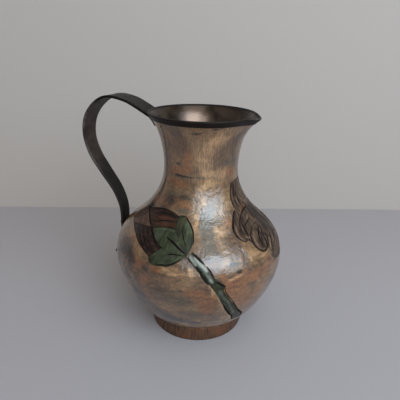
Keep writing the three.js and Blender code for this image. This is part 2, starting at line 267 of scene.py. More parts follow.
def makeBowl():
    top, floor, radius = bowl["seam"], bowl["floor"], bowl["floorRadius"]
    outside = wallStretch(bowl["start"], top - bowl["seamGroove"], bowl["rings"])
    edge = [wallPoint(lengthAt(top), -bowl["seamGroove"])]
    inside = wallStretch(bowl["start"] + bowl["innerRise"], top, bowl["innerRings"], -bowl["wall"])
    under = [(0, floor), (radius / 2, floor), (radius, floor)]
    over = [(reach, floor + bowl["wall"]) for reach, _ in under[::-1]]
    profile = under + outside + edge + inside[::-1] + over
    piece = spinProfile("bowl_body", profile, bowl["columns"])
    moveVertices(piece, beatWall)
    return piece


# Neck, with the flare pinched into the lip and its edge tucked under the rim band
neck = {
    "wall": 0.85, "bandHeight": 124.5, "edgeHeight": 126.6, "overlap": 0.4, "tuckStart": 0.5,
    "tuckDepth": 0.6, "tuckRings": 3, "rings": 36, "innerRings": 30, "columns": 240, "smooth": 30,
}


def makeNeck():
    bottom, top, end = bowl["seam"], neck["bandHeight"], neck["edgeHeight"]
    groove = bowl["seamGroove"]
    outside = wallStretch(bottom + groove, top + neck["overlap"], neck["rings"])
    tucked = wallStretch(top + neck["tuckStart"], end, neck["tuckRings"], -neck["tuckDepth"])
    inside = wallStretch(bottom, end, neck["innerRings"], -neck["wall"])
    edge = [wallPoint(lengthAt(bottom), -groove)]
    profile = edge + outside + tucked + inside[::-1] + edge
    piece = spinProfile("neck_body", profile, neck["columns"])
    moveVertices(piece, beatWall)
    moveVertices(piece, pinchLip)
    return piece


# Rim band, folded over the neck's edge
rim = {
    "proud": 0.3, "round": 0.28, "roundSteps": 4, "tuck": (0.02, -0.25), "turnedIn": 0.9,
    "turnedSteps": 2, "inset": 0.03, "hem": 0.3, "rings": 9, "foldSteps": 10, "foldSight": 0.5,
    "columns": 240, "smooth": 40, "dark": (0, 0, 0, 0.8),
}


def makeRim():
    low = lengthAt(neck["bandHeight"])
    proud, rounding, wall = rim["proud"], rim["round"], neck["wall"]
    profile = [wallPoint(low + rim["tuck"][0], rim["tuck"][1])]
    for step in range(rim["roundSteps"], -1, -1):
        turn = math.radians(90 * step / rim["roundSteps"])
        profile.append(wallPoint(low + rounding * (1 - math.sin(turn)),
                                 proud - rounding * (1 - math.cos(turn))))
    start = low + 2 * rounding
    half = (proud + wall) / 2
    end = outlineLengths[-1] - half
    for step in range(rim["rings"] + 1):
        profile.append(wallPoint(start + (end - start) * step / rim["rings"], proud))
    # the fold over the edge, half a circle from the outside to the inside
    middle = (proud - wall) / 2
    centre = Vector(wallPoint(end, middle))
    ahead = (centre - Vector(wallPoint(end - rim["foldSight"], middle))).normalized()
    square = Vector((ahead.y, -ahead.x))
    for step in range(1, rim["foldSteps"]):
        turn = math.pi * step / rim["foldSteps"]
        reach = square * math.cos(turn) + ahead * math.sin(turn)
        profile.append(tuple(centre + reach * half))
    for step in range(rim["turnedSteps"] + 1):
        back = rim["turnedIn"] * step / rim["turnedSteps"]
        profile.append(wallPoint(end - back, -wall - rim["inset"]))
    profile.append(wallPoint(end - rim["turnedIn"], -wall + rim["hem"]))
    profile.append(profile[0])
    piece = spinProfile("rim_band_metal", profile, rim["columns"])
    moveVertices(piece, beatWall)
    moveVertices(piece, pinchLip)
    return piece


# Foot ring, scored upright by hand
foot = {
    "under": [(25.9, 0), (27.4, 0), (27.75, 0.15), (27.9, 0.5)],
    "collar": (27, 6.6), "collarSteps": 6,
    "top": [(26.85, 7.2), (26.6, 7.8), (26.2, 8), (24.6, 7.2), (25.4, 0.5), (25.55, 0.15),
            (25.9, 0)],
    "columns": 360, "smooth": 40,
    "scored": {"radius": 25.7, "low": 0.3, "high": 7.4, "fine": (38, 0.12), "coarse": (9, 0.3),
               "coarseShare": 0.5, "ridge": 0.1, "depth": 0.208},
}


def makeFoot():
    start, end, count = foot["under"][-1], foot["collar"], foot["collarSteps"]
    side = [tuple(a + (b - a) * step / count for a, b in zip(start, end))
            for step in range(1, count + 1)]
    piece = spinProfile("foot_ring_metal", foot["under"] + side + foot["top"], foot["columns"])
    scored = foot["scored"]

    def score(x, y, z):
        radial = math.hypot(x, y)
        if radial < scored["radius"] or not scored["low"] <= z <= scored["high"]:
            return x, y, z
        turn = math.atan2(y, x)

        def ridges(around, upright):
            place = (math.cos(turn) * around, math.sin(turn) * around, z * upright)
            return noise.noise(Vector(place))
        cut = ridges(*scored["fine"]) + scored["coarseShare"] * ridges(*scored["coarse"])
        scale = 1 + min(cut, scored["ridge"]) * scored["depth"] / radial
        return x * scale, y * scale, z
    moveVertices(piece, score)
    return piece


# Strap handle along its side view, as distance from the jug's axis and height
strap = {
    "line": [(25.5, 122.9), (29.3, 124.7), (35.3, 127.8), (43.7, 131.4), (55.6, 132.5),
             (64.7, 127.4), (71, 118.6), (72.4, 108), (69.2, 97.5), (62.5, 87.4), (54.3, 75.7),
             (50.6, 65.6), (50.2, 54.5), (50.2, 46.8), (52.4, 40), (55.6, 33.8)],
    "thickness": 1.5, "widths": (15, 11.3, 8.8), "tapers": (0.2, 0.5, 0.85), "steps": 150,
    "across": 10, "round": 0.4, "roundSegments": 3, "roundAngle": 50, "dish": 0.12,
    # edges rubbed, wear with a painted sheen; painted shade at the top and down the lower half
    "perSpan": 24, "smooth": 40, "edgeWearAndSheen": (0.9, 0.2, 0.8), "shadedTop": (0.24, 0.34),
    "darkFoot": (0.48, 0.64, 0.8),
}


def strapKnots():
    # centripetal curve through the strap's points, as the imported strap's own line
    points = [Vector(point) for point in strap["line"]]
    ends = [points[0] * 2 - points[1]] + points + [points[-1] * 2 - points[-2]]
    line = []
    for index in range(1, len(ends) - 2):
        p = ends[index - 1:index + 3]
        knots = [0.0]
        for before, after in zip(p, p[1:]):
            knots.append(knots[-1] + (after - before).length ** 0.5)

        def blend(values, low, high, t):
            share = (t - knots[low]) / (knots[high] - knots[low])
            return values[0] * (1 - share) + values[1] * share
        for step in range(strap["perSpan"]):
            t = knots[1] + (knots[2] - knots[1]) * step / strap["perSpan"]
            first = [blend(p[k:k + 2], k, k + 1, t) for k in range(3)]
            second = [blend(first[k:k + 2], k, k + 2, t) for k in range(2)]
            line.append(blend(second, 1, 2, t))
    line.append(points[-1])
    return line


def evenSteps(line, count):
    steps = [(after - before).length for before, after in zip(line, line[1:])]
    lengths = numpy.concatenate([[0], numpy.cumsum(steps)])
    wanted = numpy.linspace(0, lengths[-1], count + 1)
    columns = [numpy.interp(wanted, lengths, [point[axis] for point in line])
               for axis in range(len(line[0]))]
    return [Vector([float(value) for value in values]) for values in zip(*columns)]


def smoothStep(value, low, high):
    t = min(max((value - low) / (high - low), 0), 1)
    return t * t * (3 - 2 * t)


def strapWidth(share):
    top, middle, end = strap["widths"]
    start, half, last = strap["tapers"]
    if share < half:
        return top + (middle - top) * smoothStep(share, start, half)
    return middle + (end - middle) * smoothStep(share, half, last)


def makeStrap():
    steps = strap["steps"]
    line = evenSteps(strapKnots(), steps)
    bpy.ops.mesh.primitive_grid_add(x_subdivisions=steps, y_subdivisions=strap["across"], size=1)
    piece = bpy.context.object
    piece.name = "strap_handle_metal"
    for vertex in piece.data.vertices:
        share = vertex.co.x + 0.5
        index = min(int(round(share * steps)), steps)
        before, after = line[max(index - 1, 0)], line[min(index + 1, steps)]
        along = (after - before).normalized()
        out = Vector((-along.y, along.x))
        side = vertex.co.y * 2
        centre = line[index] + out * strap["dish"] * (side * side - 0.5)
        half = strapWidth(share) / 2
        vertex.co = (axisX - centre.x * mm, side * half * mm, centre.y * mm)
    applyModifier(piece, "SOLIDIFY", thickness=strap["thickness"] * mm, offset=0)
    applyModifier(piece, "BEVEL", width=strap["round"] * mm, segments=strap["roundSegments"],
                  limit_method="ANGLE", angle_limit=math.radians(strap["roundAngle"]))
    faceOutward(piece)
    return piece


# Solder under the strap's upper end and behind its lower end, its back buried in the jug's wall
solder = {
    "lumps": {
        "upper_solder": {"side": [(24, 123.4), (31.4, 126.5), (30.2, 124.6), (28.6, 122.9),
                                  (27, 121.2), (25.6, 118.9), (23.6, 118.8)], "width": 13},
        "lower_solder": {"side": [(47.2, 48.2), (51.2, 48.2), (52.2, 56.2), (50.5, 56),
                                  (49.4, 54.9), (48.6, 53.6), (47.2, 53.2)], "width": 6},
    },
    "steps": 6, "voxel": 0.3, "flow": 6, "lump": 0.12, "lumpSize": 1.6, "buried": 0.45,
    "smooth": 60,
}


def makeSolder(name):
    side, width = solder["lumps"][name]["side"], solder["lumps"][name]["width"]
    loop = [(-reach, height) for reach, height in side + side[:1]]
    piece = drawProfile(name + "_lump", loop, -width / 2)
    bpy.ops.mesh.select_all(action="SELECT")
    bpy.ops.mesh.remove_doubles(threshold=weldReach)
    bpy.ops.mesh.edge_face_add()
    for _ in range(solder["steps"]):
        extrudeBy(0, width / solder["steps"], 0)
    settleOrigin()
    faceOutward(piece)
    applyModifier(piece, "REMESH", mode="VOXEL", voxel_size=solder["voxel"] * mm)
    applyModifier(piece, "SMOOTH", iterations=solder["flow"])
    for vertex in piece.data.vertices:
        lump = noise.noise(vertex.co / (solder["lumpSize"] * mm)) * solder["lump"] * mm
        vertex.co += vertex.normal * lump

    def backOff(x, y, z):
        least = radiusAt(lengthAt(z)) - solder["buried"]
        scale = max(1, least / math.hypot(x, y))
        return x * scale, y * scale, z
    moveVertices(piece, backOff)
    return piece


# Enamel: edges of the fields, each a row of turns about the jug and heights
edges = {
    "budTop": (-139.5, 76.6, -120.2, 79.2, -104.8, 79.7, -92.5, 78.4),
    "budRight": (-92.5, 78.4, -92.5, 75.6, -92.1, 73.2),
    "foldUpper": (-139.5, 76.6, -124.1, 73.2, -116.4, 70.7),
    "foldLower": (-116.4, 70.7, -110.2, 69, -102.3, 66.5, -98, 65),
    "topFoot": (-116.4, 70.7, -106.8, 72.1, -97.2, 73, -92.1, 73.2),
    "lightFoot": (-116.4, 70.7, -128, 69.6, -142, 67.7),
    "lightSide": (-142, 67.7, -152, 68.4, -155, 71, -149, 74.6, -139.5, 76.6),
    "darkSide": (-142, 67.7, -129, 66.1, -117.6, 63.6, -104.4, 60.7),
    "darkFoot": (-104.4, 60.7, -102, 62.3, -98, 65),
    "leafOuter": (-92.5, 78.4, -87.8, 78.9, -83.9, 77.9, -78.7, 75, -75, 72.2, -74.2, 68.8,
        -78.1, 64.1),
    "rightSplit": (-92.1, 73.2, -86.5, 69.4, -78.1, 64.1),
    "leftSplit": (-98, 65, -88.5, 64.3, -78.1, 64.1),
    "leafUnder": (-104.4, 60.7, -102.1, 58.2, -98, 57.8, -91.4, 58.6, -85.5, 60.3, -78.1, 64.1),
    "stemHead": (-77.4, 62.9, -74.4, 65.6),
    "stemLeft": (-77.4, 62.9, -73.5, 60.6, -67.5, 55.6, -62.8, 51.2, -56.7, 43.3, -50.9, 35.2,
        -44.3, 26.9, -40.9, 20.5),
    "stemRight": (-74.4, 65.6, -67.5, 62.1, -61.2, 55.8, -53, 50.2),
    "stemLow": (-53, 50.2, -53.8, 46.7, -46.1, 37.1, -40, 29.4, -35.3, 26.1),
    "stemStub": (-35.3, 26.1, -32.3, 19.8),
    "stemFoot": (-32.3, 19.8, -40.9, 20.5),
    "crownSide": (-20.2, 93.4, -23.8, 90.9, -24.9, 86.5, -24.7, 82.9, -25, 80.1),
    "crownTop": (-20.2, 93.4, 8, 94.4, 36.2, 93.4),
    "crownFoot": (-25, 80.1, -15, 80.6, -4, 81.4),
    "crownMiddle": (-4, 81.4, 8, 82, 20, 81.4),
    "outerSide": (-25, 80.1, -31.8, 77.2, -36.2, 74.4, -37.7, 71.4, -36.3, 68.9, -31.3, 66.8),
    "outerFoot": (-31.3, 66.8, -28.4, 67.2),
    "petalFold": (-28.4, 67.2, -29.9, 69.1, -30, 71.1, -27.7, 74, -19.9, 77.1, -4, 81.4),
    "innerFoot": (-28.4, 67.2, -25.3, 64.8),
    "innerSide": (-7.9, 71.6, -3.4, 76, -4, 81.4),
    "loopLeft": (-25.3, 64.8, -23.9, 67.7, -18.4, 70, -7.9, 71.6),
    "loopRight": (-7.9, 71.6, -6.8, 68.4, -10.9, 65.2, -13.2, 62.4),
    "loopFoot": (-13.2, 62.4, -15.7, 60.9, -20.1, 60.9, -23.1, 62.2, -25.3, 64.8),
    "heartSide": (-13.2, 62.4, -13.6, 57.6, -8.7, 53.1),
    "heartFoot": (-8.7, 53.1, 8, 51.2, 24.7, 53.1),
}

# A star before an edge's name takes it from the other side of the open flower's middle line
fields = {
    "bud_petal_top": ["budTop", "budRight", "topFoot", "foldUpper"],
    "bud_petal_light": ["foldUpper", "lightFoot", "lightSide"],
    "bud_petal_dark": ["lightFoot", "darkSide", "darkFoot", "foldLower"],
    "leaf_right": ["budRight", "leafOuter", "rightSplit"],
    "leaf_middle": ["topFoot", "rightSplit", "leftSplit", "foldLower"],
    "leaf_left": ["darkFoot", "leftSplit", "leafUnder"],
    "bud_stem": ["stemHead", "stemRight", "stemLow", "stemStub", "stemFoot", "stemLeft"],
    "bloom_crown": ["crownSide", "crownFoot", "crownMiddle", "*crownFoot", "*crownSide",
        "crownTop"],
    "bloom_heart": ["crownMiddle", "*innerSide", "*loopRight", "*heartSide", "heartFoot",
        "heartSide", "loopRight", "innerSide"],
    "bloom_petal_outer_near": ["crownFoot", "outerSide", "outerFoot", "petalFold"],
    "bloom_petal_inner_near": ["petalFold", "innerFoot", "loopLeft", "innerSide"],
    "bloom_petal_loop_near": ["loopLeft", "loopRight", "loopFoot"],
    "bloom_petal_outer_far": ["*crownFoot", "*outerSide", "*outerFoot", "*petalFold"],
    "bloom_petal_inner_far": ["*petalFold", "*innerFoot", "*loopLeft", "*innerSide"],
    "bloom_petal_loop_far": ["*loopLeft", "*loopRight", "*loopFoot"],
}

enamel = {
    "depth": 0.42, "sink": 0.02, "edgeSink": 0.12, "gap": 0.14, "spacing": 0.8, "pocket": 0.46,
    "pocketGap": 0.06, "pocketSpacing": 2.2, "pocketRise": 1.4, "bloomMiddle": 8, "smooth": 40,
    "met": 0.05, "sharpest": 0.35, "crowded": 0.85, "rowHeight": 0.87, "onEdge": 0.02,
    "clear": 0.5, "slack": 1e-5,
}


def pairs(row):
    return list(zip(row[::2], row[1::2]))


def throughPoints(points, perSpan=10):
    ends = [points[0]] + points + [points[-1]]
    line = []
    for index in range(1, len(ends) - 2):
        a, b, c, d = (Vector(point) for point in ends[index - 1:index + 3])
        for step in range(perSpan):
            t = step / perSpan
            line.append(((b * 2) + (c - a) * t + (a * 2 - b * 5 + c * 4 - d) * t * t
                         + (b * 3 - a - c * 3 + d) * t ** 3) * 0.5)
    line.append(Vector(points[-1]))
    return line


def chartLine(points, spacing):
    # evenly spaced turns and lengths along the outline, through points of turn and height
    line = [Vector((point.x, lengthAt(point.y))) for point in throughPoints(points)]
    places = [jugPlace(*point) / mm for point in line]
    sizes = [(after - before).length for before, after in zip(places, places[1:])]
    steps = numpy.concatenate([[0], numpy.cumsum(sizes)])
    count = max(2, int(round(steps[-1] / spacing)))
    wanted = numpy.linspace(0, steps[-1], count + 1)
    turns = numpy.interp(wanted, steps, [point.x for point in line])
    lengths = numpy.interp(wanted, steps, [point.y for point in line])
    return [Vector((float(turn), float(length))) for turn, length in zip(turns, lengths)]


def across(points):
    return [(2 * enamel["bloomMiddle"] - azimuth, height) for azimuth, height in points]


def fieldLoop(names, spacing):
    lines = []
    for name in names:
        points = pairs(edges[name.strip("*")])
        lines.append(chartLine(across(points) if name[0] == "*" else points, spacing))
    loop = []
    for index, line in enumerate(lines):
        following = lines[(index + 1) % len(lines)]
        if loop:
            apart = (loop[-1] - line[0]).length
        else:
            apart = min((end - line[-1]).length for end in (following[0], following[-1]))
        line = line[::-1] if apart > enamel["met"] else line
        loop += line[1:] if loop else line
    loop.pop()
    area = sum(a.x * b.y - a.y * b.x for a, b in zip(loop, loop[1:] + loop[:1]))
    return loop[::-1] if area < 0 else loop


def metric(point):
    # millimetres round the jug for one degree of turn
    return math.radians(1) * radiusAt(point.y)


def growLoop(loop, margin):
    grown = []
    for index, point in enumerate(loop):
        scale = metric(point)
        before, after = loop[index - 1], loop[(index + 1) % len(loop)]
        first = Vector(((point.x - before.x) * scale, point.y - before.y)).normalized()
        second = Vector(((after.x - point.x) * scale, after.y - point.y)).normalized()
        firstOut, secondOut = Vector((first.y, -first.x)), Vector((second.y, -second.x))
        corner = (firstOut + secondOut).normalized()
        shift = corner * margin / max(corner.dot(firstOut), enamel["sharpest"])
        grown.append(Vector((point.x + shift.x / scale, point.y + shift.y)))
    least = abs(margin) * enamel["crowded"]
    return [point for point in grown if edgeDistance(point, loop) > least]


def edgeDistance(point, loop):
    scale = metric(point)
    least = 1e9
    for a, b in zip(loop, loop[1:] + loop[:1]):
        start = Vector(((a.x - point.x) * scale, a.y - point.y))
        end = Vector(((b.x - point.x) * scale, b.y - point.y))
        along = end - start
        size = along.length_squared
        t = 0 if size == 0 else min(max(-start.dot(along) / size, 0), 1)
        least = min(least, (start + along * t).length)
    return least


def isInside(point, loop):
    inside = False
    for a, b in zip(loop, loop[1:] + loop[:1]):
        if (a.y > point.y) != (b.y > point.y):
            if point.x < (b.x - a.x) * (point.y - a.y) / (b.y - a.y) + a.x:
                inside = not inside
    return inside


def newPiece(name, vertices, faces):
    mesh = bpy.data.meshes.new(name)
    mesh.from_pydata(vertices, [], faces)
    mesh.update()
    piece = bpy.data.objects.new(name, mesh)
    bpy.context.scene.collection.objects.link(piece)
    return piece


def fieldSheet(name, loop, spacing, lift, edgeLift):
    # a sheet inside the loop that follows the jug's wall
    scale = metric(sum(loop, Vector((0, 0))) / len(loop))
    points = list(loop)
    lowX, highX = min(p.x for p in loop), max(p.x for p in loop)
    lowY, highY = min(p.y for p in loop), max(p.y for p in loop)
    row = 0
    y = lowY + spacing / 2
    while y < highY:
        x = lowX + (spacing / scale) * (0.5 if row % 2 else 1)
        while x < highX:
            point = Vector((x, y))
            if isInside(point, loop) and edgeDistance(point, loop) > spacing * enamel["clear"]:
                points.append(point)
            x += spacing / scale
        y += spacing * enamel["rowHeight"]
        row += 1
    flatPoints = [Vector((point.x * scale, point.y)) for point in points]
    ring = list(range(len(loop)))
    sides = [(corner, (corner + 1) % len(ring)) for corner in ring]
    found, _, triangles, _, _, _ = geometry.delaunay_2d_cdt(
        flatPoints, sides, [ring], 1, enamel["slack"])
    kept = []
    for triangle in triangles:
        centre = sum((found[corner] for corner in triangle), Vector((0, 0))) / len(triangle)
        if isInside(Vector((centre.x / scale, centre.y)), loop):
            kept.append(tuple(triangle))
    vertices = []
    for point in found:
        chart = Vector((point.x / scale, point.y))
        onEdge = edgeDistance(chart, loop) < enamel["onEdge"]
        vertices.append(jugPlace(chart.x, chart.y, edgeLift if onEdge else lift))
    return newPiece(name, vertices, kept)


def thicken(piece, thickness, offset):
    applyModifier(piece, "SOLIDIFY", thickness=thickness * mm, offset=offset,
                  use_quality_normals=True)


# Engraved lines: width, then turns and heights
engraving = {
    "bud": [
        (0.55, -85.4, 73, -83.4, 70.9, -81.4, 69.1, -79.8, 67.6),
        (1.2, -96.9, 69.5, -89.9, 68.1, -84.5, 66.4, -78.8, 64.6),
        (0.8, -91.4, 63, -90, 63.7, -85.5, 64, -80.9, 63.8),
        (0.9, -89.8, 77.9, -85, 78.4, -79.2, 75.7, -76, 73.3, -74.6, 71, -74.3, 68.9, -74.7, 68.2),
        (1.1, -97.4, 58.1, -93.1, 58.8, -90.4, 58.9, -86.4, 60.1, -83.2, 61.5, -81, 62.8),
        (1.5, -139.3, 76.4, -125.5, 73.3, -117.1, 71.1, -109.4, 68.6, -103.6, 66.5, -96.8, 65.2),
        (0.5, -125.4, 69.6, -115.8, 66.2, -109.6, 64, -104.6, 62.5),
        (0.45, -120.8, 70, -111.4, 66.4, -105.5, 64.2, -101.6, 63),
        (0.5, -130.4, 68.5, -119.1, 65.5, -111.4, 63, -105.7, 61.2),
        (0.4, -126.6, 75.8, -116.6, 77.3, -103.9, 77.9, -95.2, 77.4),
        (0.4, -118.7, 73, -110.9, 74.3, -102, 75.3, -94.5, 75.4),
        (0.7, -131, 77.4, -118.5, 79.1, -107.3, 79.6, -96.7, 79),
        (0.4, -140.9, 68, -132, 69.1, -123.2, 70, -117.1, 70.7),
    ],
    "stem": [
        (1.4, -74, 65.2, -70.8, 63.7, -68.4, 62.4, -66.1, 61),
        (0.5, -78.6, 63.7, -75.6, 62.2, -73.2, 61.1),
        (1.3, -71.5, 60.1, -68.9, 58, -67.6, 55.9, -64.9, 53.1, -62.8, 51.4),
        (0.8, -64.9, 60.4, -63, 58.6, -61, 56, -60.1, 54.5),
        (1.4, -59.1, 53.1, -56.7, 51.6, -53.5, 49.8),
        (0.6, -53.5, 49.2, -53, 46.8, -51.1, 43.9, -47.4, 40),
        (0.4, -62.8, 51.4, -60.6, 49.1, -58.6, 45.9, -56.4, 42.7),
        (1.2, -56.4, 42.7, -54, 39.2, -50.7, 33.8, -46.7, 28.8, -42.9, 25, -39.9, 19.9),
        (1, -47.4, 40, -44.7, 35.7, -41.3, 31.3, -35, 25.9, -32, 22, -29, 16),
    ],
    "bloom": [
        (1, -19.6, 92.9, -23.6, 89.8, -25.6, 86.6, -25.6, 83.7, -25.5, 81.5, -24, 80.1),
        (0.8, -13.7, 91.3, -18.3, 89, -20.7, 86.2, -20, 83.1, -16.8, 80.2),
        (0.8, -4.7, 92.9, -10.5, 89.6, -14.1, 85.8, -12.4, 82.3, -8.2, 79),
        (1.35, -24.9, 79.9, -29, 78.8, -33.8, 76, -37.3, 72.8, -37.4, 70.3, -35.3, 68.4,
            -31.9, 66.9),
        (1.1, -1.5, 79, -13.8, 78.2, -22, 76.5, -28.3, 73.8, -30.4, 71.1, -29.9, 68.7, -28.2, 67.6),
        (0.6, -24.4, 79.8, -21.3, 77.1),
        (0.6, -21, 80, -18.1, 77.8),
        (0.6, -9.7, 73.9, -16.9, 73.4, -24.4, 72.4),
        (0.7, -1.9, 76.7, -4, 75, -1.9, 72.4),
        (0.8, -25.6, 72.3, -26.2, 70.3, -25.5, 68.6),
        (1.35, -5.7, 71.5, -13.1, 71, -18.7, 70, -23.6, 68.3, -25.6, 66, -25, 63.9, -22.1, 61.6,
            -18.2, 60.8, -14.4, 61.5, -12.2, 63.1, -10.6, 65.5, -8.1, 67.7, -4.7, 69.4),
        (1.2, -5.7, 69.9, -11.9, 68.5, -15.9, 66.6, -17.2, 64.6, -17.3, 63.2),
        (0.9, -4.1, 66.8, -8.6, 63.8, -13.2, 59.9),
    ],
    "bloomMiddle": [
        (0.9, 2.9, 66, -3.6, 62.7, -11.8, 58.1),
        (0.9, 11.9, 64.5, 2, 61.4, -7.1, 55.8),
        (0.9, 24.7, 60, 10.3, 58.8, -0.3, 51.9),
        (1, 9.2, 76.1, 14.4, 71.3, 13.1, 67.9),
    ],
}

graver = {
    "spacing": 0.8, "deepest": 0.34, "steepness": 0.42, "bite": 0.06, "above": 0.2, "tip": 0.3,
    "waver": 0.18, "waverSize": 2.5,
}


def engraveTool(name, width, points):
    line = chartLine(points, graver["spacing"])
    count = len(line) - 1
    places = [jugPlace(*point) for point in line]
    lift = graver["above"]
    vertices = []
    for index, point in enumerate(line):
        before, after = places[max(index - 1, 0)], places[min(index + 1, count)]
        out = (jugPlace(point.x, point.y, 1) - places[index]).normalized()
        side = (after - before).normalized().cross(out)
        bulge = math.sin(math.pi * (index / count)) ** 0.5
        taper = graver["tip"] + (1 - graver["tip"]) * bulge
        waver = noise.noise(places[index] / (graver["waverSize"] * mm))
        wide = width * taper * (1 + graver["waver"] * waver)
        depth = min(graver["deepest"], graver["steepness"] * wide + graver["bite"])
        half = wide / 2 * (1 + lift / depth)
        vertices.append(places[index] + (side * half + out * lift) * mm)
        vertices.append(places[index] + (side * -half + out * lift) * mm)
        vertices.append(places[index] + out * -depth * mm)
    faces = [(0, 2, 1), (3 * count, 3 * count + 1, 3 * count + 2)]
    for index in range(count):
        for corner in range(3):
            a, b = 3 * index + corner, 3 * index + (corner + 1) % 3
            faces.append((a, b, b + 3, a + 3))
    tool = newPiece(name, vertices, faces)
    faceOutward(tool)
    return tool


def carve(piece, tools):
    box = bpy.data.collections.new("tools")
    bpy.context.scene.collection.children.link(box)
    for tool in tools:
        box.objects.link(tool)
    applyModifier(piece, "BOOLEAN", operation="DIFFERENCE", operand_type="COLLECTION",
                  collection=box, solver="MANIFOLD", material_mode="TRANSFER")
    bpy.data.collections.remove(box)


# Finishes
def tone(*values):
    # a colour as a screen shows it, from 0 to 255, turned into light
    shares = [value / 255 for value in values]
    return tuple(((share + 0.055) / 1.055) ** 2.4 for share in shares) + (1,)


# A brush stroke's own grain, and the span of a cloud that its roughness follows
brushGrain = (1.0, 4)
cloudSpan = (0.3, 0.7)


class Nodes:
    # short names for making the nodes of one shader tree
    def __init__(self, tree):
        self.tree = tree

    def add(self, kind, inputs, **settings):
        node = self.tree.nodes.new("ShaderNode" + kind)
        for key, value in settings.items():
            setattr(node, key, value)
        for key, value in inputs.items():
            if isinstance(value, bpy.types.NodeSocket):
                self.tree.links.new(value, node.inputs[key])
            else:
                node.inputs[key].default_value = value
        return node

    def mix(self, share, first, second, blend="MIX"):
        first, second = (colour if isinstance(colour, bpy.types.NodeSocket) else tone(*colour)
                         for colour in (first, second))
        return self.add("Mix", {0: share, 6: first, 7: second}, data_type="RGBA",
                        blend_type=blend).outputs[2]

    def darken(self, colour, shade):
        grey = self.add("CombineColor", dict.fromkeys(range(3), shade)).outputs[0]
        return self.mix(1.0, colour, grey, "MULTIPLY")

    def reckon(self, operation, *values):
        return self.add("Math", dict(enumerate(values)), operation=operation).outputs[0]

    def vector(self, operation, *values):
        node = self.add("VectorMath", dict(enumerate(values)), operation=operation)
        return node.outputs["Value" if operation in ("DISTANCE", "DOT_PRODUCT") else "Vector"]

    def loosen(self, cloud, reach):
        # a cloud about nought
        return self.reckon("MULTIPLY", self.reckon("SUBTRACT", cloud, 0.5), reach)

    def between(self, value, low, high, toLow=0.0, toHigh=1.0, shape="SMOOTHSTEP"):
        inputs = {"Value": value, "From Min": low, "From Max": high, "To Min": toLow,
                  "To Max": toHigh}
        return self.add("MapRange", inputs, interpolation_type=shape).outputs["Result"]

    def noise(self, vector, scale, detail=3.0, roughness=0.5, distortion=0.0):
        return self.add("TexNoise", {"Vector": vector, "Scale": scale, "Detail": detail,
                                     "Roughness": roughness, "Distortion": distortion})


class Finish(Nodes):
    # a material, its principled shader and the place on the jug that its patterns follow
    def __init__(self, name, sockets):
        self.material = bpy.data.materials.new(name)
        self.material.use_nodes = True
        super().__init__(self.material.node_tree)
        self.shader = self.tree.nodes["Principled BSDF"]
        for key, value in sockets.items():
            self.shader.inputs[key].default_value = value
        place = self.add("TexCoord", {}).outputs["Object"]
        self.place = self.move(place, (-axisX, 0, 0))

    def move(self, place, shift):
        return self.add("Mapping", {"Vector": place, "Location": shift}).outputs["Vector"]

    def grain(self, scale, *rest):
        return self.noise(self.place, scale, *rest).outputs["Fac"]

    def wrapped(self, around, upright):
        # coordinates round the jug and up it, so strokes keep their width at every radius
        unit = self.vector("NORMALIZE", self.vector("MULTIPLY", self.place, (1, 1, 0)))
        risen = self.vector("MULTIPLY", self.place, (0, 0, upright))
        return self.vector("MULTIPLY_ADD", unit, (around,) * 3, risen)

    def brushing(self, around, upright):
        return self.noise(self.wrapped(around, upright), *brushGrain).outputs["Fac"]

    def patinaAndPaintedLight(self):
        # the four painted shares, with painted shade, sheen and highlights among them
        layer = self.add("Attribute", {}, attribute_name="patinaAndPaintedLight", attribute_type="GEOMETRY")
        parts = self.add("SeparateColor", {"Color": layer.outputs["Color"]}).outputs
        return [*parts[:3], layer.outputs["Alpha"]]

    def colour(self, value):
        self.tree.links.new(value, self.shader.inputs["Base Color"])

    def roughen(self, cloud, smooth, rough):
        self.tree.links.new(self.between(cloud, *cloudSpan, smooth, rough),
                            self.shader.inputs["Roughness"])

    def ground(self, cloud, look):
        # two tones spread by one cloud, which roughens them too
        self.roughen(cloud, *look["roughness"])
        return self.mix(self.between(cloud, *look["spread"]), *look["tones"])

    def bump(self, height, strength, distance, socket="Normal"):
        skin = self.add("Bump", {"Height": height, "Strength": strength,
                                 "Distance": distance * mm})
        self.tree.links.new(skin.outputs["Normal"], self.shader.inputs[socket])


# Lacquer over brass: every painted layer has its share, cloud, edge, raggedness and strength;
# heights and places in metres
lacquer = {
    "sockets": {"Metallic": 0.45, "Specular IOR Level": 0.15, "Coat Weight": 1.0,
                "Coat Roughness": 0.12, "Coat IOR": 1.8},
    "dull": (93, 68, 47), "tan": (148, 114, 77), "dark": (45, 30, 18),
    "sway": (90, 2), "swing": 3, "neckFrom": (0.088, 0.1), "neckBrush": (60, 190),
    "bowlBrush": (9, 620), "broad": (42, 5, 0.6, 0.8), "small": (150, 5, 0.62, 0.5),
    "fine": (620, 4, 0.6), "other": (60, 5, 0.6, 0.6), "otherPlace": (0.3, 0.1, 0.2),
    "ripple": (260, 3, 0.6, 0.4), "ragged": (1.1, 0.9), "ground": (0.34, 0.66),
    "layers": [(0, "other", 0, 0.95, 1.3, 0.68, (146, 92, 53)),
               (2, "broad", 0.05, 1, 1.2, 0.8, (79, 73, 60)),
               (1, "other", 0.05, 1.05, -1, 0.75, (196, 153, 108))],
    "specks": (0.3, 0.7, 0.8), "sootAndShade": (0.15, 1, 0.4), "brushShade": (0.3, 0.7, 0.72, 1.24),
    "fineShade": (0.32, 0.68, 0.82, 1.17), "roughness": (0.36, 0.52), "relief": (0.5, 1.2, 0.5),
    "bump": (0.5, 0.3), "waves": (0.4, 1.8, 0.9), "coatBump": (0.7, 0.4),
}


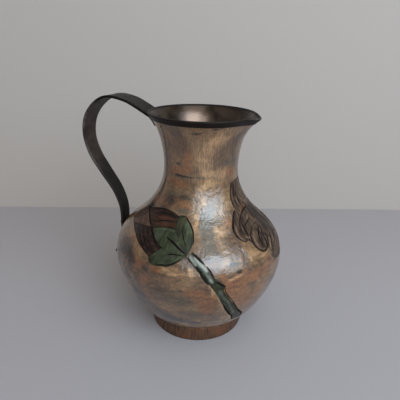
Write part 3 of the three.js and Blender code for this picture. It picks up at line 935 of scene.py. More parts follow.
def lacquerFinish():
    finish = Finish("lacqueredBrass", lacquer["sockets"])
    reckon = finish.reckon
    height = finish.add("SeparateXYZ", {"Vector": finish.place}).outputs["Z"]
    sway = finish.noise(finish.place, *lacquer["sway"]).outputs["Color"]

    def brushed(around, upright):
        bent = finish.vector("MULTIPLY_ADD", sway, (lacquer["swing"],) * 3,
                             finish.wrapped(around, upright))
        return finish.noise(bent, *brushGrain).outputs["Fac"]
    # brushed upright on the neck and round the bowl
    onNeck = finish.between(height, *lacquer["neckFrom"])
    upright, turned = brushed(*lacquer["neckBrush"]), brushed(*lacquer["bowlBrush"])
    strokes = reckon("MULTIPLY_ADD", reckon("SUBTRACT", upright, turned), onNeck, turned)
    small, fine = finish.grain(*lacquer["small"]), finish.grain(*lacquer["fine"])
    elsewhere = finish.move(finish.place, lacquer["otherPlace"])
    clouds = {"broad": finish.grain(*lacquer["broad"]),
              "other": finish.noise(elsewhere, *lacquer["other"]).outputs["Fac"]}
    smallReach, strokesReach = lacquer["ragged"]
    rough = reckon("ADD", finish.loosen(small, smallReach), finish.loosen(strokes, strokesReach))
    painted = finish.patinaAndPaintedLight()

    def spread(share, cloud, low, high, reach):
        ragged = reckon("MULTIPLY_ADD", reckon("SUBTRACT", cloud, 0.5), reach, share)
        return finish.between(reckon("ADD", ragged, rough), low, high)
    colour = finish.mix(finish.between(clouds["broad"], *lacquer["ground"]), lacquer["dull"],
                        lacquer["tan"])
    for index, cloud, low, high, reach, strength, laid in lacquer["layers"]:
        share = reckon("MULTIPLY", spread(painted[index], clouds[cloud], low, high, reach),
                       strength)
        colour = finish.mix(share, colour, laid)
    reach, low, high = lacquer["specks"]
    specks = finish.between(reckon("MULTIPLY_ADD", painted[3], reach, fine), low, high)
    # soot and painted shade: the dark share, which holds painted shade and a painted reflection of
    # the strap
    sootAndShade = reckon("MAXIMUM", spread(painted[3], small, *lacquer["sootAndShade"]), specks)
    colour = finish.mix(sootAndShade, colour, lacquer["dark"])
    shade = reckon("MULTIPLY", finish.between(strokes, *lacquer["brushShade"]),
                   finish.between(fine, *lacquer["fineShade"]))
    finish.colour(finish.darken(colour, shade))
    finish.roughen(small, *lacquer["roughness"])
    brush, cloud, pores = lacquer["relief"]
    relief = reckon("MULTIPLY_ADD", small, cloud, reckon("MULTIPLY", strokes, brush))
    finish.bump(reckon("MULTIPLY_ADD", fine, pores, relief), *lacquer["bump"])
    brush, cloud, ripple = lacquer["waves"]
    waves = reckon("MULTIPLY_ADD", small, cloud, reckon("MULTIPLY", strokes, brush))
    waves = reckon("MULTIPLY_ADD", finish.grain(*lacquer["ripple"]), ripple, waves)
    finish.bump(waves, *lacquer["coatBump"], "Coat Normal")
    return finish.material


# Plainer finishes: a ground of two tones, then what is laid on it; the painted highlight spot in
# metres
inside = {
    "blotch": (70, 5, 0.6, 0.6), "spread": (0.35, 0.66), "tones": ((54, 47, 42), (88, 76, 67)),
    "paintedHighlightPlace": (-0.0115, 0.0215, 0.1185), "paintedHighlightReach": (0.0035, 0.011), "paintedHighlightShare": 0.8,
    "paintedHighlightTone": (119, 97, 82), "roughness": (0.17, 0.25), "turning": (8, 900),
    "bump": (0.2, 0.2),
}


def insideFinish():
    finish = Finish("tinnedInside", {"Metallic": 0.9})
    blotch = finish.grain(*inside["blotch"])
    # painted highlight: brighter on the far side of the mouth, where the light falls
    apart = finish.vector("DISTANCE", finish.place, inside["paintedHighlightPlace"])
    wearAndSheen = finish.between(apart, *inside["paintedHighlightReach"], inside["paintedHighlightShare"], 0.0)
    finish.colour(finish.mix(wearAndSheen, finish.ground(blotch, inside), inside["paintedHighlightTone"]))
    finish.bump(finish.brushing(*inside["turning"]), *inside["bump"])
    return finish.material


darkMetal = {
    "blotch": (110, 5, 0.6, 0.4), "fine": (900, 4), "spread": (0.35, 0.68),
    "tones": ((49, 41, 38), (78, 65, 59)), "edgeWearAndSheenSpread": (0.35, 0.6), "edgeWearAndSheenTone": (104, 96, 90),
    "darkTone": (25, 21, 19), "roughness": (0.36, 0.52), "fineRelief": 0.3,
    "bump": (0.25, 0.2),
}


def darkMetalFinish():
    finish = Finish("darkMetal", {"Metallic": 0.25, "Specular IOR Level": 0.15})
    blotch, fine = finish.grain(*darkMetal["blotch"]), finish.grain(*darkMetal["fine"])
    wearAndSheen, _, _, dark = finish.patinaAndPaintedLight()
    # rubbed edges on the strap: wear with a painted sheen
    edgeWearAndSheen = finish.reckon("MULTIPLY", wearAndSheen, finish.between(blotch, *darkMetal["edgeWearAndSheenSpread"]))
    colour = finish.mix(edgeWearAndSheen, finish.ground(blotch, darkMetal), darkMetal["edgeWearAndSheenTone"])
    # the dark share: the rim band's own black, and painted shade on the strap's top and lower half
    finish.colour(finish.mix(dark, colour, darkMetal["darkTone"]))
    relief = finish.reckon("MULTIPLY_ADD", fine, darkMetal["fineRelief"], blotch)
    finish.bump(relief, *darkMetal["bump"])
    return finish.material


footBronze = {
    "hatching": (60, 130), "spread": (0.34, 0.66), "tones": ((52, 38, 29), (116, 84, 60)),
    "blotch": (80, 4), "blotchSpread": (0.45, 0.7), "blotchTone": (120, 76, 50),
    "roughness": (0.55, 0.4), "bump": (0.4, 0.3),
}


def footFinish():
    finish = Finish("footBronze", {"Metallic": 0.45, "Coat Weight": 0.2, "Coat Roughness": 0.3})
    upright = finish.brushing(*footBronze["hatching"])
    blotch = finish.between(finish.grain(*footBronze["blotch"]), *footBronze["blotchSpread"])
    ground = finish.ground(upright, footBronze)
    finish.colour(finish.mix(blotch, ground, footBronze["blotchTone"]))
    finish.bump(upright, *footBronze["bump"])
    return finish.material


blackFill = {"cloud": (300,), "spread": (0.35, 0.7), "tones": ((14, 11, 10), (32, 25, 21))}


def lineFinish():
    finish = Finish("blackFill", {"Roughness": 0.6, "Specular IOR Level": 0.08})
    cloud = finish.between(finish.grain(*blackFill["cloud"]), *blackFill["spread"])
    finish.colour(finish.mix(cloud, *blackFill["tones"]))
    return finish.material


solderGrey = {"cloud": (260, 5), "spread": (0.35, 0.65), "tones": ((60, 55, 50), (96, 88, 80)),
              "roughness": (0.5, 0.65), "bump": (0.3, 0.3)}


def solderFinish():
    finish = Finish("solderGrey", {"Metallic": 0.8})
    cloud = finish.grain(*solderGrey["cloud"])
    finish.colour(finish.ground(cloud, solderGrey))
    finish.bump(cloud, *solderGrey["bump"])
    return finish.material


# Enamels: the ground's deep and pale, the tints laid on it, the brushing round and upright with
# its share, and the clear coat
enamels = {
    "leaf": {"deep": (42, 45, 32), "pale": (64, 69, 49), "warm": (78, 68, 46),
        "light": (84, 92, 68), "grey": (70, 72, 61), "dark": (26, 25, 20),
        "brushing": (30, 300, 0.25), "coat": 0.2},
    # the stem's light tone: paler paint, with a painted highlight on its upper part
    "stem": {"deep": (29, 31, 20), "pale": (56, 58, 39), "warm": (74, 62, 44),
        "light": (146, 148, 134), "grey": (72, 76, 66), "dark": (26, 26, 20),
        "brushing": (30, 300, 0.4), "coat": 0.3},
    "petalTop": {"deep": (46, 28, 21), "pale": (68, 45, 34), "warm": (80, 46, 34),
        "light": (96, 72, 56), "grey": (48, 41, 37), "dark": (30, 22, 19),
        "brushing": (6, 1400, 0.6), "coat": 0.25},
    "petalLight": {"deep": (68, 49, 39), "pale": (94, 70, 57), "warm": (80, 46, 34),
        "light": (108, 83, 66), "grey": (56, 48, 43), "dark": (32, 25, 21),
        "brushing": (12, 600, 0.4), "coat": 0.25},
    "petalDark": {"deep": (29, 20, 17), "pale": (54, 37, 30), "warm": (76, 44, 36),
        "light": (88, 68, 56), "grey": (50, 41, 42), "dark": (28, 21, 20),
        "brushing": (10, 900, 0.6), "coat": 0.25},
    "bloom": {"deep": (52, 40, 33), "pale": (100, 80, 65), "warm": (122, 82, 56),
        "light": (140, 112, 88), "grey": (66, 60, 44), "dark": (50, 37, 31),
        "brushing": (70, 200, 0.6), "coat": 0.1},
}

enamelSkin = {
    "cloud": (130, 5, 0.6), "ground": (0.34, 0.66), "laid": (0.12, 0.9), "loose": 0.5,
    "streaks": (0.32, 0.68, 0.8, 1.2), "roughness": (0.34, 0.5), "bump": (0.3, 0.25),
    "coatBump": (0.8, 0.6),
}


def enamelFinish(name):
    look = enamels[name]
    around, upright, share = look["brushing"]
    finish = Finish(name + "Enamel", {
        "Metallic": 0.1, "Specular IOR Level": 0.1, "Coat Weight": look["coat"],
        "Coat Roughness": 0.16, "Coat IOR": 1.55})
    reckon = finish.reckon
    brushed, cloudy = finish.brushing(around, upright), finish.grain(*enamelSkin["cloud"])
    blend = reckon("ADD", reckon("MULTIPLY", brushed, share),
                   reckon("MULTIPLY", cloudy, 1 - share))
    colour = finish.mix(finish.between(blend, *enamelSkin["ground"]), look["deep"], look["pale"])
    loose = finish.loosen(cloudy, enamelSkin["loose"])
    for part, laid in zip(finish.patinaAndPaintedLight(), ("warm", "light", "grey", "dark")):
        ragged = finish.between(reckon("ADD", part, loose), *enamelSkin["laid"])
        colour = finish.mix(ragged, colour, look[laid])
    streaks = finish.between(brushed, *enamelSkin["streaks"])
    finish.colour(finish.darken(colour, streaks))
    finish.roughen(cloudy, *enamelSkin["roughness"])
    finish.bump(blend, *enamelSkin["bump"])
    finish.bump(cloudy, *enamelSkin["coatBump"], "Coat Normal")
    return finish.material


# Patches of the lacquer's colour: turn, height, half width and half height
patchPlaces = {
    "plum": [(-105, 115.5, 3.1, 5.3), (-52, 76.1, 2.2, 1.2), (-118, 51, 3.9, 4.7),
        (-107, 34.9, 7.9, 8), (-28, 64.3, 1.8, 1.3)],
    "olive": [(-103, 110.8, 4.3, 3.2), (-110, 87.7, 4.2, 3.5), (-125, 61, 3.6, 3.1),
        (-82, 40.6, 8.8, 5.4), (-80, 30.9, 4.7, 4.6)],
    "dark": [(-104, 104, 2.5, 1), (-55, 123.7, 1.7, 0.3), (-76, 121, 1.9, 0.3), (-44, 56.1, 1.7, 1),
        (-46, 60.3, 1.7, 0.6), (-104, 97.7, 2.4, 0.8), (-92, 97.4, 4.5, 0.5)],
    "copper": [(-87, 107.6, 2.4, 2.7), (-101, 100.9, 7.3, 1.6), (-23, 99.3, 5.5, 2.2),
        (-104, 93.5, 6.3, 1.8), (-122, 81.3, 8.6, 1.6), (-96, 83.7, 5.3, 1.4), (-41, 75.7, 3, 1.6),
        (-97, 55.8, 3.4, 1.5), (-105, 48.5, 5.1, 3), (-68, 46.6, 3.9, 3.1), (-64, 35.9, 4.1, 4.5),
        (-44, 48.2, 7.9, 4.7), (-54, 53.9, 1.3, 1.5), (-14, 55.1, 3.7, 2.2), (-27, 39.9, 6.4, 5.4),
        (-40, 35.9, 4.8, 5.2), (-5, 45, 8, 4), (-127, 57, 5, 7)],
    "slate": [(-30, 105, 3.5, 1.9), (-89, 80.8, 4.4, 1.8), (-64, 73.6, 2, 4.6),
        (-104, 55.1, 2.5, 2), (-69, 30.1, 3.6, 2.9), (-35, 47.5, 2.5, 1.8), (-47, 59.7, 3.3, 1.3),
        (-96, 97.5, 3.6, 0.7), (-66, 97.6, 7, 0.6), (20, 40, 6, 4)],
    "gold": [(-58, 99.7, 4.2, 2.1), (-67, 107.3, 5, 5.4), (-57, 114.8, 5.1, 4.3),
        (-46, 118.4, 4.9, 2.6), (-68, 91.7, 3.1, 1.8), (-73, 76.7, 1.5, 5.7), (-52, 72.2, 3.2, 2.6),
        (-85, 56.6, 6.1, 2.8), (-74, 57.1, 1.2, 2.3), (-28, 60.9, 8.5, 3.4), (35, 48, 7, 5),
        (-58, 95, 4, 2.5), (-66, 85, 2, 4), (-38, 99, 3, 3)],
    # umber: dark patina in places; the broad dabs down the left side and low on the belly are
    # painted shade, away from the light
    "umberAndShade": [(-20, 116.6, 2.5, 5.1), (-77, 121.1, 2.4, 0.5), (-91, 87.2, 3.9, 1.4),
        (-11, 39.1, 4.6, 9.3), (-55, 41.9, 2.1, 2.1), (-49, 33.6, 2.2, 3.3), (-127, 41.9, 5.4, 7.9),
        (-115, 35.5, 5.9, 7), (-114, 79.9, 4.4, 1.8), (-143, 76.8, 8.2, 1.3), (-118, 76, 5, 3),
        (-104, 84, 4, 3), (-145, 62, 7, 14), (-140, 46, 6, 10), (-134, 78, 8, 3), (-116, 84, 6, 3),
        (-112, 30, 9, 5), (-11, 39, 6, 8), (-135, 55, 5, 9), (-121, 50, 5, 6), (-92, 25, 14, 5)],
    "pale": [(-63, 50.1, 0.6, 1.9), (-61, 47.3, 0.6, 2.1), (-58, 43.8, 0.6, 2.3),
        (-56, 40.5, 0.6, 2.5), (-53, 36.5, 0.6, 2.7), (-50, 32, 0.7, 2.9), (-45, 26.4, 0.7, 2.7)],
    "speck": [(-65, 82.8, 3.1, 2.3), (-88, 80.4, 4.4, 1.7), (-46, 58.7, 4.4, 2.2)],
    # slate under the two highlights: a painted tint of their cool reflection
    "seamAndSheenSlate": [(-58, 82, 7, 7), (-62, 72, 4, 7), (-62, 64, 7, 4)],
    "red": [(-127, 57, 5, 7)],
}
# Strokes of it: half width, then turns and heights
patchStrokes = {
    "scratch": [(0.4, -93, 121.2, -81.9, 121.1, -69.7, 121.5), (0.35, -64.2, 124, -55, 123.7,
        -46.7, 124.4), (0.5, -68.2, 82.9, -66.5, 80.7, -65, 78.6), (0.45, -80.4, 47.3, -79.4, 47.2),
        (0.35, -49, 60.3, -47.2, 59.1), (0.4, -44.9, 56.4, -43.4, 55.4), (0.3, -45.2, 61.9,
        -44.2, 61.6), (0.35, -79.7, 64.4, -78, 63.7)],
    # grey along the seam; then slate down the strip between the highlights, a painted tint of its
    # cool reflection
    "seamAndSheenSlate": [(0.6, -56.3, 97.5, -45.3, 97, -33, 97), (2.4, -66.5, 79.4, -63.9, 74.6, -62, 70.1),
        (1.6, -66.2, 76.2, -63.9, 71.2, -60.3, 68)],
    "pale": [(0.45, -62.9, 52.1, -59.2, 46.9, -54, 38.8, -45.7, 27.3), (0.6, -50.9, 53.1, -47, 54.1,
        -42.8, 54.9)],
    "copper": [(2.2, -50.9, 50.5, -44.3, 52.6, -34, 52.4, -23, 52.3), (3, -46.5, 45, -39.3, 38.8,
        -31.8, 33.6), (1.6, -55.1, 56.1, -54, 53.5, -52.1, 51.8), (1.6, -88.1, 109.9, -87.4, 106.5,
        -88.8, 103), (1.2, -125.9, 98, -104.5, 99.9, -88.8, 101.2), (1.5, -33.3, 99.6, -23.5, 99.3,
        -10.7, 99.2), (2.2, -136.4, 79.3, -114.6, 84, -93.3, 83.5), (2.6, -57, 46.1, -63.4, 38.6,
        -71.7, 43.4), (2.8, -73.7, 45.9, -68.3, 41.5, -61.6, 34.4), (1.2, -97.5, 56.1, -94.6, 56),
        (1.4, -42.2, 75.7, -38.3, 75), (3, -49.5, 48.1, -42.9, 43.5, -30.9, 34.9),
        (2.4, -41.6, 52.1, -32.5, 51.5, -20.9, 51.7), (0.9, -55.5, 54.3, -53.7, 52.6),
        (2, -134, 80.1, -103.5, 84.3, -82.3, 82.6)],
    "red": [(1.2, -19.2, 57.1, -13.6, 54.7, -7.4, 52.3), (1.4, -121.6, 93.6, -110.7, 93.4,
        -97.7, 93.1), (1.6, -116.3, 118.4, -117.7, 115.7, -115.1, 113.3), (1.5, -140.3, 76.8,
        -139, 79.8, -133.7, 83.3), (2.4, -131.8, 57.6, -122.9, 56.4, -114.1, 55.6, -108.2, 54.9),
        (1.3, -17, 56.7, -9.4, 53.2), (2.6, -133, 60, -125, 58, -116, 56)],
    # slate: grey in the gap where the leaf tip meets the stem, a painted tint of the highlight
    # there
    "slate": [(0.5, -78.5, 63.9, -76.1, 65.5)],
    # dark: a painted reflection of the strap down the neck's left side
    "dark": [(1, -122.3, 122.6, -123.9, 117.8, -126.9, 112.4, -130.1, 106, -131.9, 98.7, -132, 94.3,
        -134.2, 89.6, -138.6, 84.1)],
    "olive": [(2.2, -124.7, 60.5, -120.8, 59.2), (3.2, -95.2, 41.8, -84.7, 41.1, -74.8, 41.2),
        (2.4, -128.2, 61.5, -122.2, 59.3, -117.5, 57.7)],
    "smoke": [(1.3, -106.4, 54.8, -102.9, 53.7), (0.8, -94.2, 48.7, -92, 46, -86.8, 46.4,
        -81.3, 46.9), (1.6, -117, 37.1, -108.5, 37.4)],
    "plum": [(2.6, -125, 46.9, -119.8, 42.8, -113.9, 38.6), (3.4, -113.6, 41.5, -108, 34.6,
        -100, 29, -89.5, 24.3), (2, -125.7, 107, -115.1, 115.1), (2.2, -118.6, 87, -95.9, 87.8,
        -81.5, 86.5)],
    # painted shade low on the belly
    "umberAndShade": [(2.2, -91.4, 23.6, -78.8, 22.7, -68.1, 21.4)],
    "gold": [(0.7, -75.8, 59, -73.8, 56.5)],
}
# Shares of copper, gold, slate and dark
patchKinds = {
    "copper": (1, 0, 0, 0),
    "gold": (0, 1, 0, 0),
    "slate": (0, 0, 1, 0),
    "dark": (0, 0, 0.2, 1),
    "plum": (0.45, 0, 0.45, 0.1),
    "olive": (0.15, 0.2, 0.55, 0.2),
    # dark patina, and painted shade down the left side and low on the belly
    "umberAndShade": (0, 0, 0, 0.6),
    "speck": (0, 0, 0.1, 0.25),
    "pale": (0, 1.2, 0, 0),
    # slate: grey along the seam, and a painted tint under the highlights
    "seamAndSheenSlate": (0, 0, 0.7, 0),
    "scratch": (0, 0, 0, 0.65),
    "red": (0.9, 0, 0, 0.3),
    "smoke": (0, 0, 0.4, 0.5),
}


# Strokes of colour laid on the enamel: half width, then turns and heights
budTints = {
    "dark": [(1.3, -159.4, 68.2, -157.3, 70.4, -152.2, 72.7, -143.5, 75.1, -138, 76),
        (0.7, -150.8, 68.3, -144.2, 70.3, -140.2, 72.1, -137.1, 73.9, -136.7, 75.5),
        (0.9, -133, 76.4, -124.7, 77.8, -116.3, 78.4, -108.5, 78.5, -101.7, 78.7, -95.7, 78.3,
        -91.7, 77.8), (0.7, -116.5, 77.2, -108.8, 77.7, -102, 77.8, -95.9, 77.2),
        (0.5, -111.1, 74.4, -105.7, 75.2, -100.2, 75.7, -95, 75.7), (0.5, -113.9, 71.2,
        -108.1, 72.3, -102, 72.9, -96.7, 73, -92.4, 72.8), (0.6, -139.4, 67.9, -131.3, 69.1,
        -124.1, 69.9, -117, 70.7), (0.5, -124.7, 69.5, -120.4, 68.4, -116.1, 67, -112.4, 65.6),
        (0.5, -112, 66.3, -108.5, 64.9, -104.5, 63.4, -102, 62.6), (0.5, -109.1, 66.2, -105.8, 65,
        -102.2, 63.8), (0.5, -103.3, 60.6, -101.9, 59.3, -99.9, 58.4, -96.6, 58.6),
        (0.5, -80.1, 66.7, -78.4, 65.6, -77.8, 64.5), (0.5, -70.3, 60.3, -68.8, 58.9, -67.6, 57.8),
        (0.8, -52.4, 40.6, -49.7, 36.1, -46, 30.2)],
    "grey": [(1, -127.6, 75.7, -124.1, 76.8, -118.9, 77.1), (1.6, -133.1, 67.9, -127.4, 67.1,
        -122.1, 66.2), (0.8, -112, 63.6, -109.9, 62.7, -107.6, 61.9), (1.6, -77.5, 69.1,
        -78.2, 67.7, -78.9, 66.4), (1.4, -106.7, 70, -104.4, 69, -103.4, 67.9), (1.3, -84.5, 66.6,
        -82.2, 65.7, -80.9, 64.9), (1.6, -89.7, 62.6, -87.6, 62.6, -85.7, 63), (0.7, -74.8, 64.5,
        -72.2, 62.5, -69.8, 60.9), (0.8, -67.5, 59, -65, 57.2, -62.5, 55)],
    "red": [(1.3, -112.7, 75.6, -106.6, 76.2, -100.6, 76.6, -95.1, 76.4), (1.3, -107.5, 73.4,
        -102.1, 73.9, -96.8, 74.1, -93.1, 74.1), (0.9, -118.2, 68.1, -114, 66.8, -110, 65.5,
        -106.2, 64.1), (0.9, -107, 66.2, -103.7, 65.1, -100.5, 64.2), (0.7, -106, 62.6,
        -103.9, 61.8)],
    "olive": [(1.2, -118.2, 74.1, -114.6, 72.9, -112.3, 72.1), (0.9, -60.6, 55.3, -58.7, 53.1,
        -56.6, 50.8)],
    # light: paler streaks on the petals; a painted highlight on the stem's upper part, on the right
    # leaf and near the left leaf's lower edge
    "light": [(0.5, -112.6, 70.2, -109.2, 69.1, -106, 67.9), (0.7, -110.4, 70.8, -105.8, 71.6,
        -100.9, 72.1, -95.8, 72.2, -92.1, 71.9), (0.6, -81.8, 76.5, -78.6, 74.6, -76.9, 72.4),
        (0.8, -85.9, 61.6, -84.1, 62.3, -82.3, 63.1), (0.55, -76.6, 65.2, -75.4, 63.5, -73.5, 62,
        -71.7, 60.7), (0.7, -72.3, 63.6, -68.9, 61.8, -66.7, 60.1, -64.6, 58.4), (0.8, -75.9, 64.6,
        -73.3, 63.2, -70.5, 61.7, -67.3, 59.9, -65.1, 58.6), (1.3, -82.5, 75, -80, 72, -80.5, 69)],
    "warm": [(1.4, -86.5, 77.5, -87, 75.8, -88, 74.1), (0.5, -60.8, 50.8, -59.2, 47.9,
        -57.1, 44.5)],
    "green": [(1.4, -97.9, 61.4, -94.2, 61.4, -91.4, 61.6), (1.4, -89.2, 70.6, -86.2, 69.5,
        -84.7, 68.4), (1.2, -63.6, 55.9, -62.4, 54.4, -61.2, 52.8), (1, -65.4, 57.3, -63.6, 55.4,
        -62.1, 53.3), (1.6, -56.7, 47.3, -52.9, 41.8, -48.5, 35.4, -43.5, 28.9)],
}
bloomTints = {
    "dark": [(1.2, 30.1, 69.7, 25.5, 66.7, 18.8, 63.8), (0.7, 2.9, 55, 0.3, 52.1, -1.1, 51.1),
        (0.7, -15.7, 91.9, -17.1, 89.3, -18.8, 86.4), (0.6, -7.5, 89.3, -10.6, 86.2, -11.2, 83.5),
        (1.2, -27.1, 78.6, -30.5, 76.9, -32.8, 75.2), (1.4, -20.7, 75.5, -24, 73.9, -25.8, 72.7),
        (1, -24.5, 71.7, -25.9, 70.8, -26.9, 69.6), (1.6, 8.6, 65.5, 5.3, 63.6, 2.2, 61.7),
        (0.5, -13.7, 60.7, -15.4, 58.9, -16.1, 57.8), (0.5, -4.7, 60.7, -7.2, 58.7, -9.7, 56.7),
        (0.6, 4.3, 57.6, 1.5, 55.2, 0.3, 52.1), (0.35, -12.5, 62, -15.8, 59), (0.35, -4.5, 61.7,
        -8.9, 56.8), (0.35, 1.8, 59.6, -4, 53.9), (1, -14.5, 65.2, -17.1, 64.2, -18.1, 62.7),
        (0.7, -12, 67, -15, 65), (1.6, -17.5, 65.6, -17.5, 63.4), (0.5, -30, 71.1, -29.9, 69.1,
        -28.4, 67.2), (0.45, -19.9, 77.1, -27.7, 74, -30, 71.1), (0.5, -23.1, 62.2, -20.1, 60.9,
        -15.7, 60.9, -13.2, 62.4), (1, -19, 65.2, -17, 62.8)],
    "light": [(0.7, -9, 84.9, -5.9, 83.2, -0.6, 81), (0.6, -10.6, 61.5, -13.2, 59.6, -14.9, 57.4),
        (0.7, 3.4, 61.3, -2.6, 59, -7.4, 55.6), (0.6, 12.2, 56.5, 6.8, 54.6), (0.5, -12.5, 71.5,
        -17.4, 70.3, -19.8, 69.1), (0.5, -19.7, 89.8, -21.4, 87.3, -21.6, 84.7), (0.45, -15.8, 85.7,
        -16.3, 83.4, -16.2, 81.4), (0.5, -23.2, 79.7, -22, 78.3, -21.2, 77.2), (0.6, -33.3, 73.3,
        -35.1, 71.4, -34.5, 69.3, -33.1, 67.9), (0.7, -4, 77.1, -10.1, 75.5, -15.4, 74.4),
        (0.6, -28.8, 68.8, -27.9, 68, -25.4, 68.1), (0.6, -29.9, 71.3, -30.5, 69.6, -29.2, 68.1),
        (0.5, -4.4, 71.9, -12.1, 70.9, -15.5, 70), (0.45, -18.9, 68.6, -22.3, 66.8, -23.1, 65,
        -22.1, 63.1), (0.35, -13.1, 64, -13.9, 62.3, -16.4, 61.4, -20.2, 61.6), (0.55, -7.6, 62.2,
        -9.8, 59.9, -12.7, 57.7), (0.55, 0, 59.9, -3.4, 58.1, -6.4, 55.9), (0.5, -5, 64.5,
        -6.5, 62.6), (0.5, 1.9, 63.2, -0.8, 61.6), (0.4, -8.5, 61.8, -12.1, 58.2), (0.4, -2.6, 59,
        -6.9, 56.1), (0.6, -2.4, 86.2, 1.1, 82.5, 2.8, 79.8), (0.5, -9.5, 90.6, -10.5, 88.3,
        -12.1, 85.6)],
    "red": [(0.7, -10.5, 92.4, -13.8, 90, -14.4, 87.3), (0.9, 2.1, 77.4, -4.2, 75.8, -8.3, 73.9)],
    "orange": [(1.1, -7.1, 80.9, -7.9, 80, -11.8, 79.3), (0.6, -15.3, 78.8, -18.6, 77.9)],
    "olive": [(1.4, -12.2, 72.4, -19.1, 70.9, -23.6, 69.4), (1, -18, 66.2, -20.3, 64.7)],
    "shade": [(3, 10.2, 76.7, 9.8, 72.8, 6.2, 69.7, 2.1, 67.2), (1.6, -10.7, 78.8, -8.5, 76.2),
        (1.2, -18.5, 92.9, -16.3, 89.2, -15.8, 85.7), (1, -24, 72.2, -25.4, 70.2), (2.6, -1.9, 76.8,
        3.2, 71.4, 0.2, 67.7)],
}
# Shares of warm, light, grey and dark
tintKinds = {
    "warm": (0.6, 0, 0, 0),
    "red": (0.55, 0, 0, 0),
    "orange": (0.75, 0, 0, 0),
    "light": (0, 0.7, 0, 0),
    "green": (0, 0.4, 0, 0),
    "grey": (0, 0, 0.6, 0),
    "olive": (0.35, 0, 0.45, 0),
    "dark": (0, 0, 0, 0.75),
    "shade": (0, 0, 0, 0.62),
}


# The lacquer's patches come again on the far side, a little turned and raised
painting = {"spacing": 0.5, "strength": 0.85, "again": (171, 3)}


def paint(piece, colours):
    layer = piece.data.attributes.new("patinaAndPaintedLight", "FLOAT_COLOR", "POINT")
    layer.data.foreach_set("color", colours.astype(numpy.float32).ravel())


def charted(piece):
    # every point's turn, radius, height and length along the outline
    places = numpy.empty(len(piece.data.vertices) * 3)
    piece.data.vertices.foreach_get("co", places)
    places = places.reshape(-1, 3) / mm
    places[:, 0] -= axisX / mm
    turns = numpy.degrees(numpy.arctan2(places[:, 1], places[:, 0]))
    radii = numpy.hypot(places[:, 0], places[:, 1])
    heights = places[:, 2]
    return turns, radii, heights, numpy.interp(heights, outlineHeights, outlineLengths)


def sideways(turns, radii, azimuth):
    # how far round the wall every point lies from a turn
    return numpy.radians((turns - azimuth + 180) % 360 - 180) * radii


def strokeWeights(piece, strokes, kinds, mirrored=False):
    turns, radii, _, lengths = charted(piece)
    colours = numpy.zeros((len(turns), 4))
    for kind, lines in strokes.items():
        for wide, *row in lines:
            for points in (pairs(row), across(pairs(row))) if mirrored else (pairs(row),):
                nearest = numpy.full(len(turns), numpy.inf)
                for point in chartLine(points, painting["spacing"]):
                    apart = sideways(turns, radii, point.x) ** 2 + (lengths - point.y) ** 2
                    nearest = numpy.minimum(nearest, apart)
                colours += numpy.exp(-nearest / wide ** 2)[:, None] * numpy.array(kinds[kind])
    return colours


def paintPatches(piece):
    turns, radii, heights, _ = charted(piece)
    colours = strokeWeights(piece, patchStrokes, patchKinds)
    for kind, dabs in patchPlaces.items():
        for azimuth, height, wide, tall in dabs:
            for turn, raised in ((0, 0), painting["again"]):
                aside = sideways(turns, radii, azimuth + turn) / wide
                upward = (heights - height - raised) / tall
                weight = numpy.exp(-aside ** 2 - upward ** 2) * painting["strength"]
                colours += weight[:, None] * numpy.array(patchKinds[kind])
    paint(piece, numpy.clip(colours, 0, 1))


def paintStrapWearAndShade(piece):
    # painted shade: dark at the top and down the lower half; rubbed along both edges, wear with a
    # painted sheen
    count = strap["steps"]
    line = evenSteps(strapKnots(), count)
    inner, outer, edgeWearAndSheen = strap["edgeWearAndSheen"]
    low, high, dark = strap["darkFoot"]
    colours = numpy.zeros((len(piece.data.vertices), 4))
    for index, vertex in enumerate(piece.data.vertices):
        place = Vector(((axisX - vertex.co.x) / mm, vertex.co.z / mm))
        nearest = min(range(count + 1), key=lambda step: (line[step] - place).length_squared)
        share = nearest / count
        half = strapWidth(share) / 2
        edge = smoothStep(abs(vertex.co.y) / mm, half - inner, half - outer)
        # rubbed edges: wear with a painted sheen
        colours[index, 0] = edge * edgeWearAndSheen
        # painted shade over the strap's top and its lower half
        colours[index, 3] = max(1 - smoothStep(share, *strap["shadedTop"]),
                                smoothStep(share, low, high) * dark)
    paint(piece, colours)


finishes = {
    "lacquer": lacquerFinish(), "inside": insideFinish(), "darkMetal": darkMetalFinish(),
    "foot": footFinish(), "line": lineFinish(), "solder": solderFinish(),
}
for name in enamels:
    finishes[name] = enamelFinish(name)
print("stage 2: finishes made")

# Finish and slot of every enamel field; those that aren't named take the open flower's
bloomLook = ("bloom", "bloom_enamel")
fieldLooks = {
    "leaf_right": ("leaf", "leaf_enamel"), "leaf_middle": ("leaf", "leaf_enamel"),
    "leaf_left": ("leaf", "leaf_enamel"), "bud_stem": ("stem", "leaf_enamel"),
    "bud_petal_top": ("petalTop", "petal_enamel"),
    "bud_petal_light": ("petalLight", "light_petal_enamel"),
    "bud_petal_dark": ("petalDark", "petal_enamel"),
}


def settle(piece, slot, *nodes):
    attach(piece, "root")
    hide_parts(*nodes)


def dress(piece, *names):
    piece.data.materials.clear()
    for name in names:
        piece.data.materials.append(finishes[name])


# Pieces
bowlBody, neckBody = makeBowl(), makeNeck()
dress(bowlBody, "lacquer", "inside")
dress(neckBody, "lacquer", "inside")
for polygon, depth in zip(bowlBody.data.polygons, wallDepth(bowlBody)):
    polygon.material_index = 1 if depth > bowl["wall"] / 2 else 0
for polygon in neckBody.data.polygons:
    facing = polygon.normal.x * (polygon.center.x - axisX) + polygon.normal.y * polygon.center.y
    polygon.material_index = 1 if facing < 0 else 0
print("stage 3: bowl and neck spun")

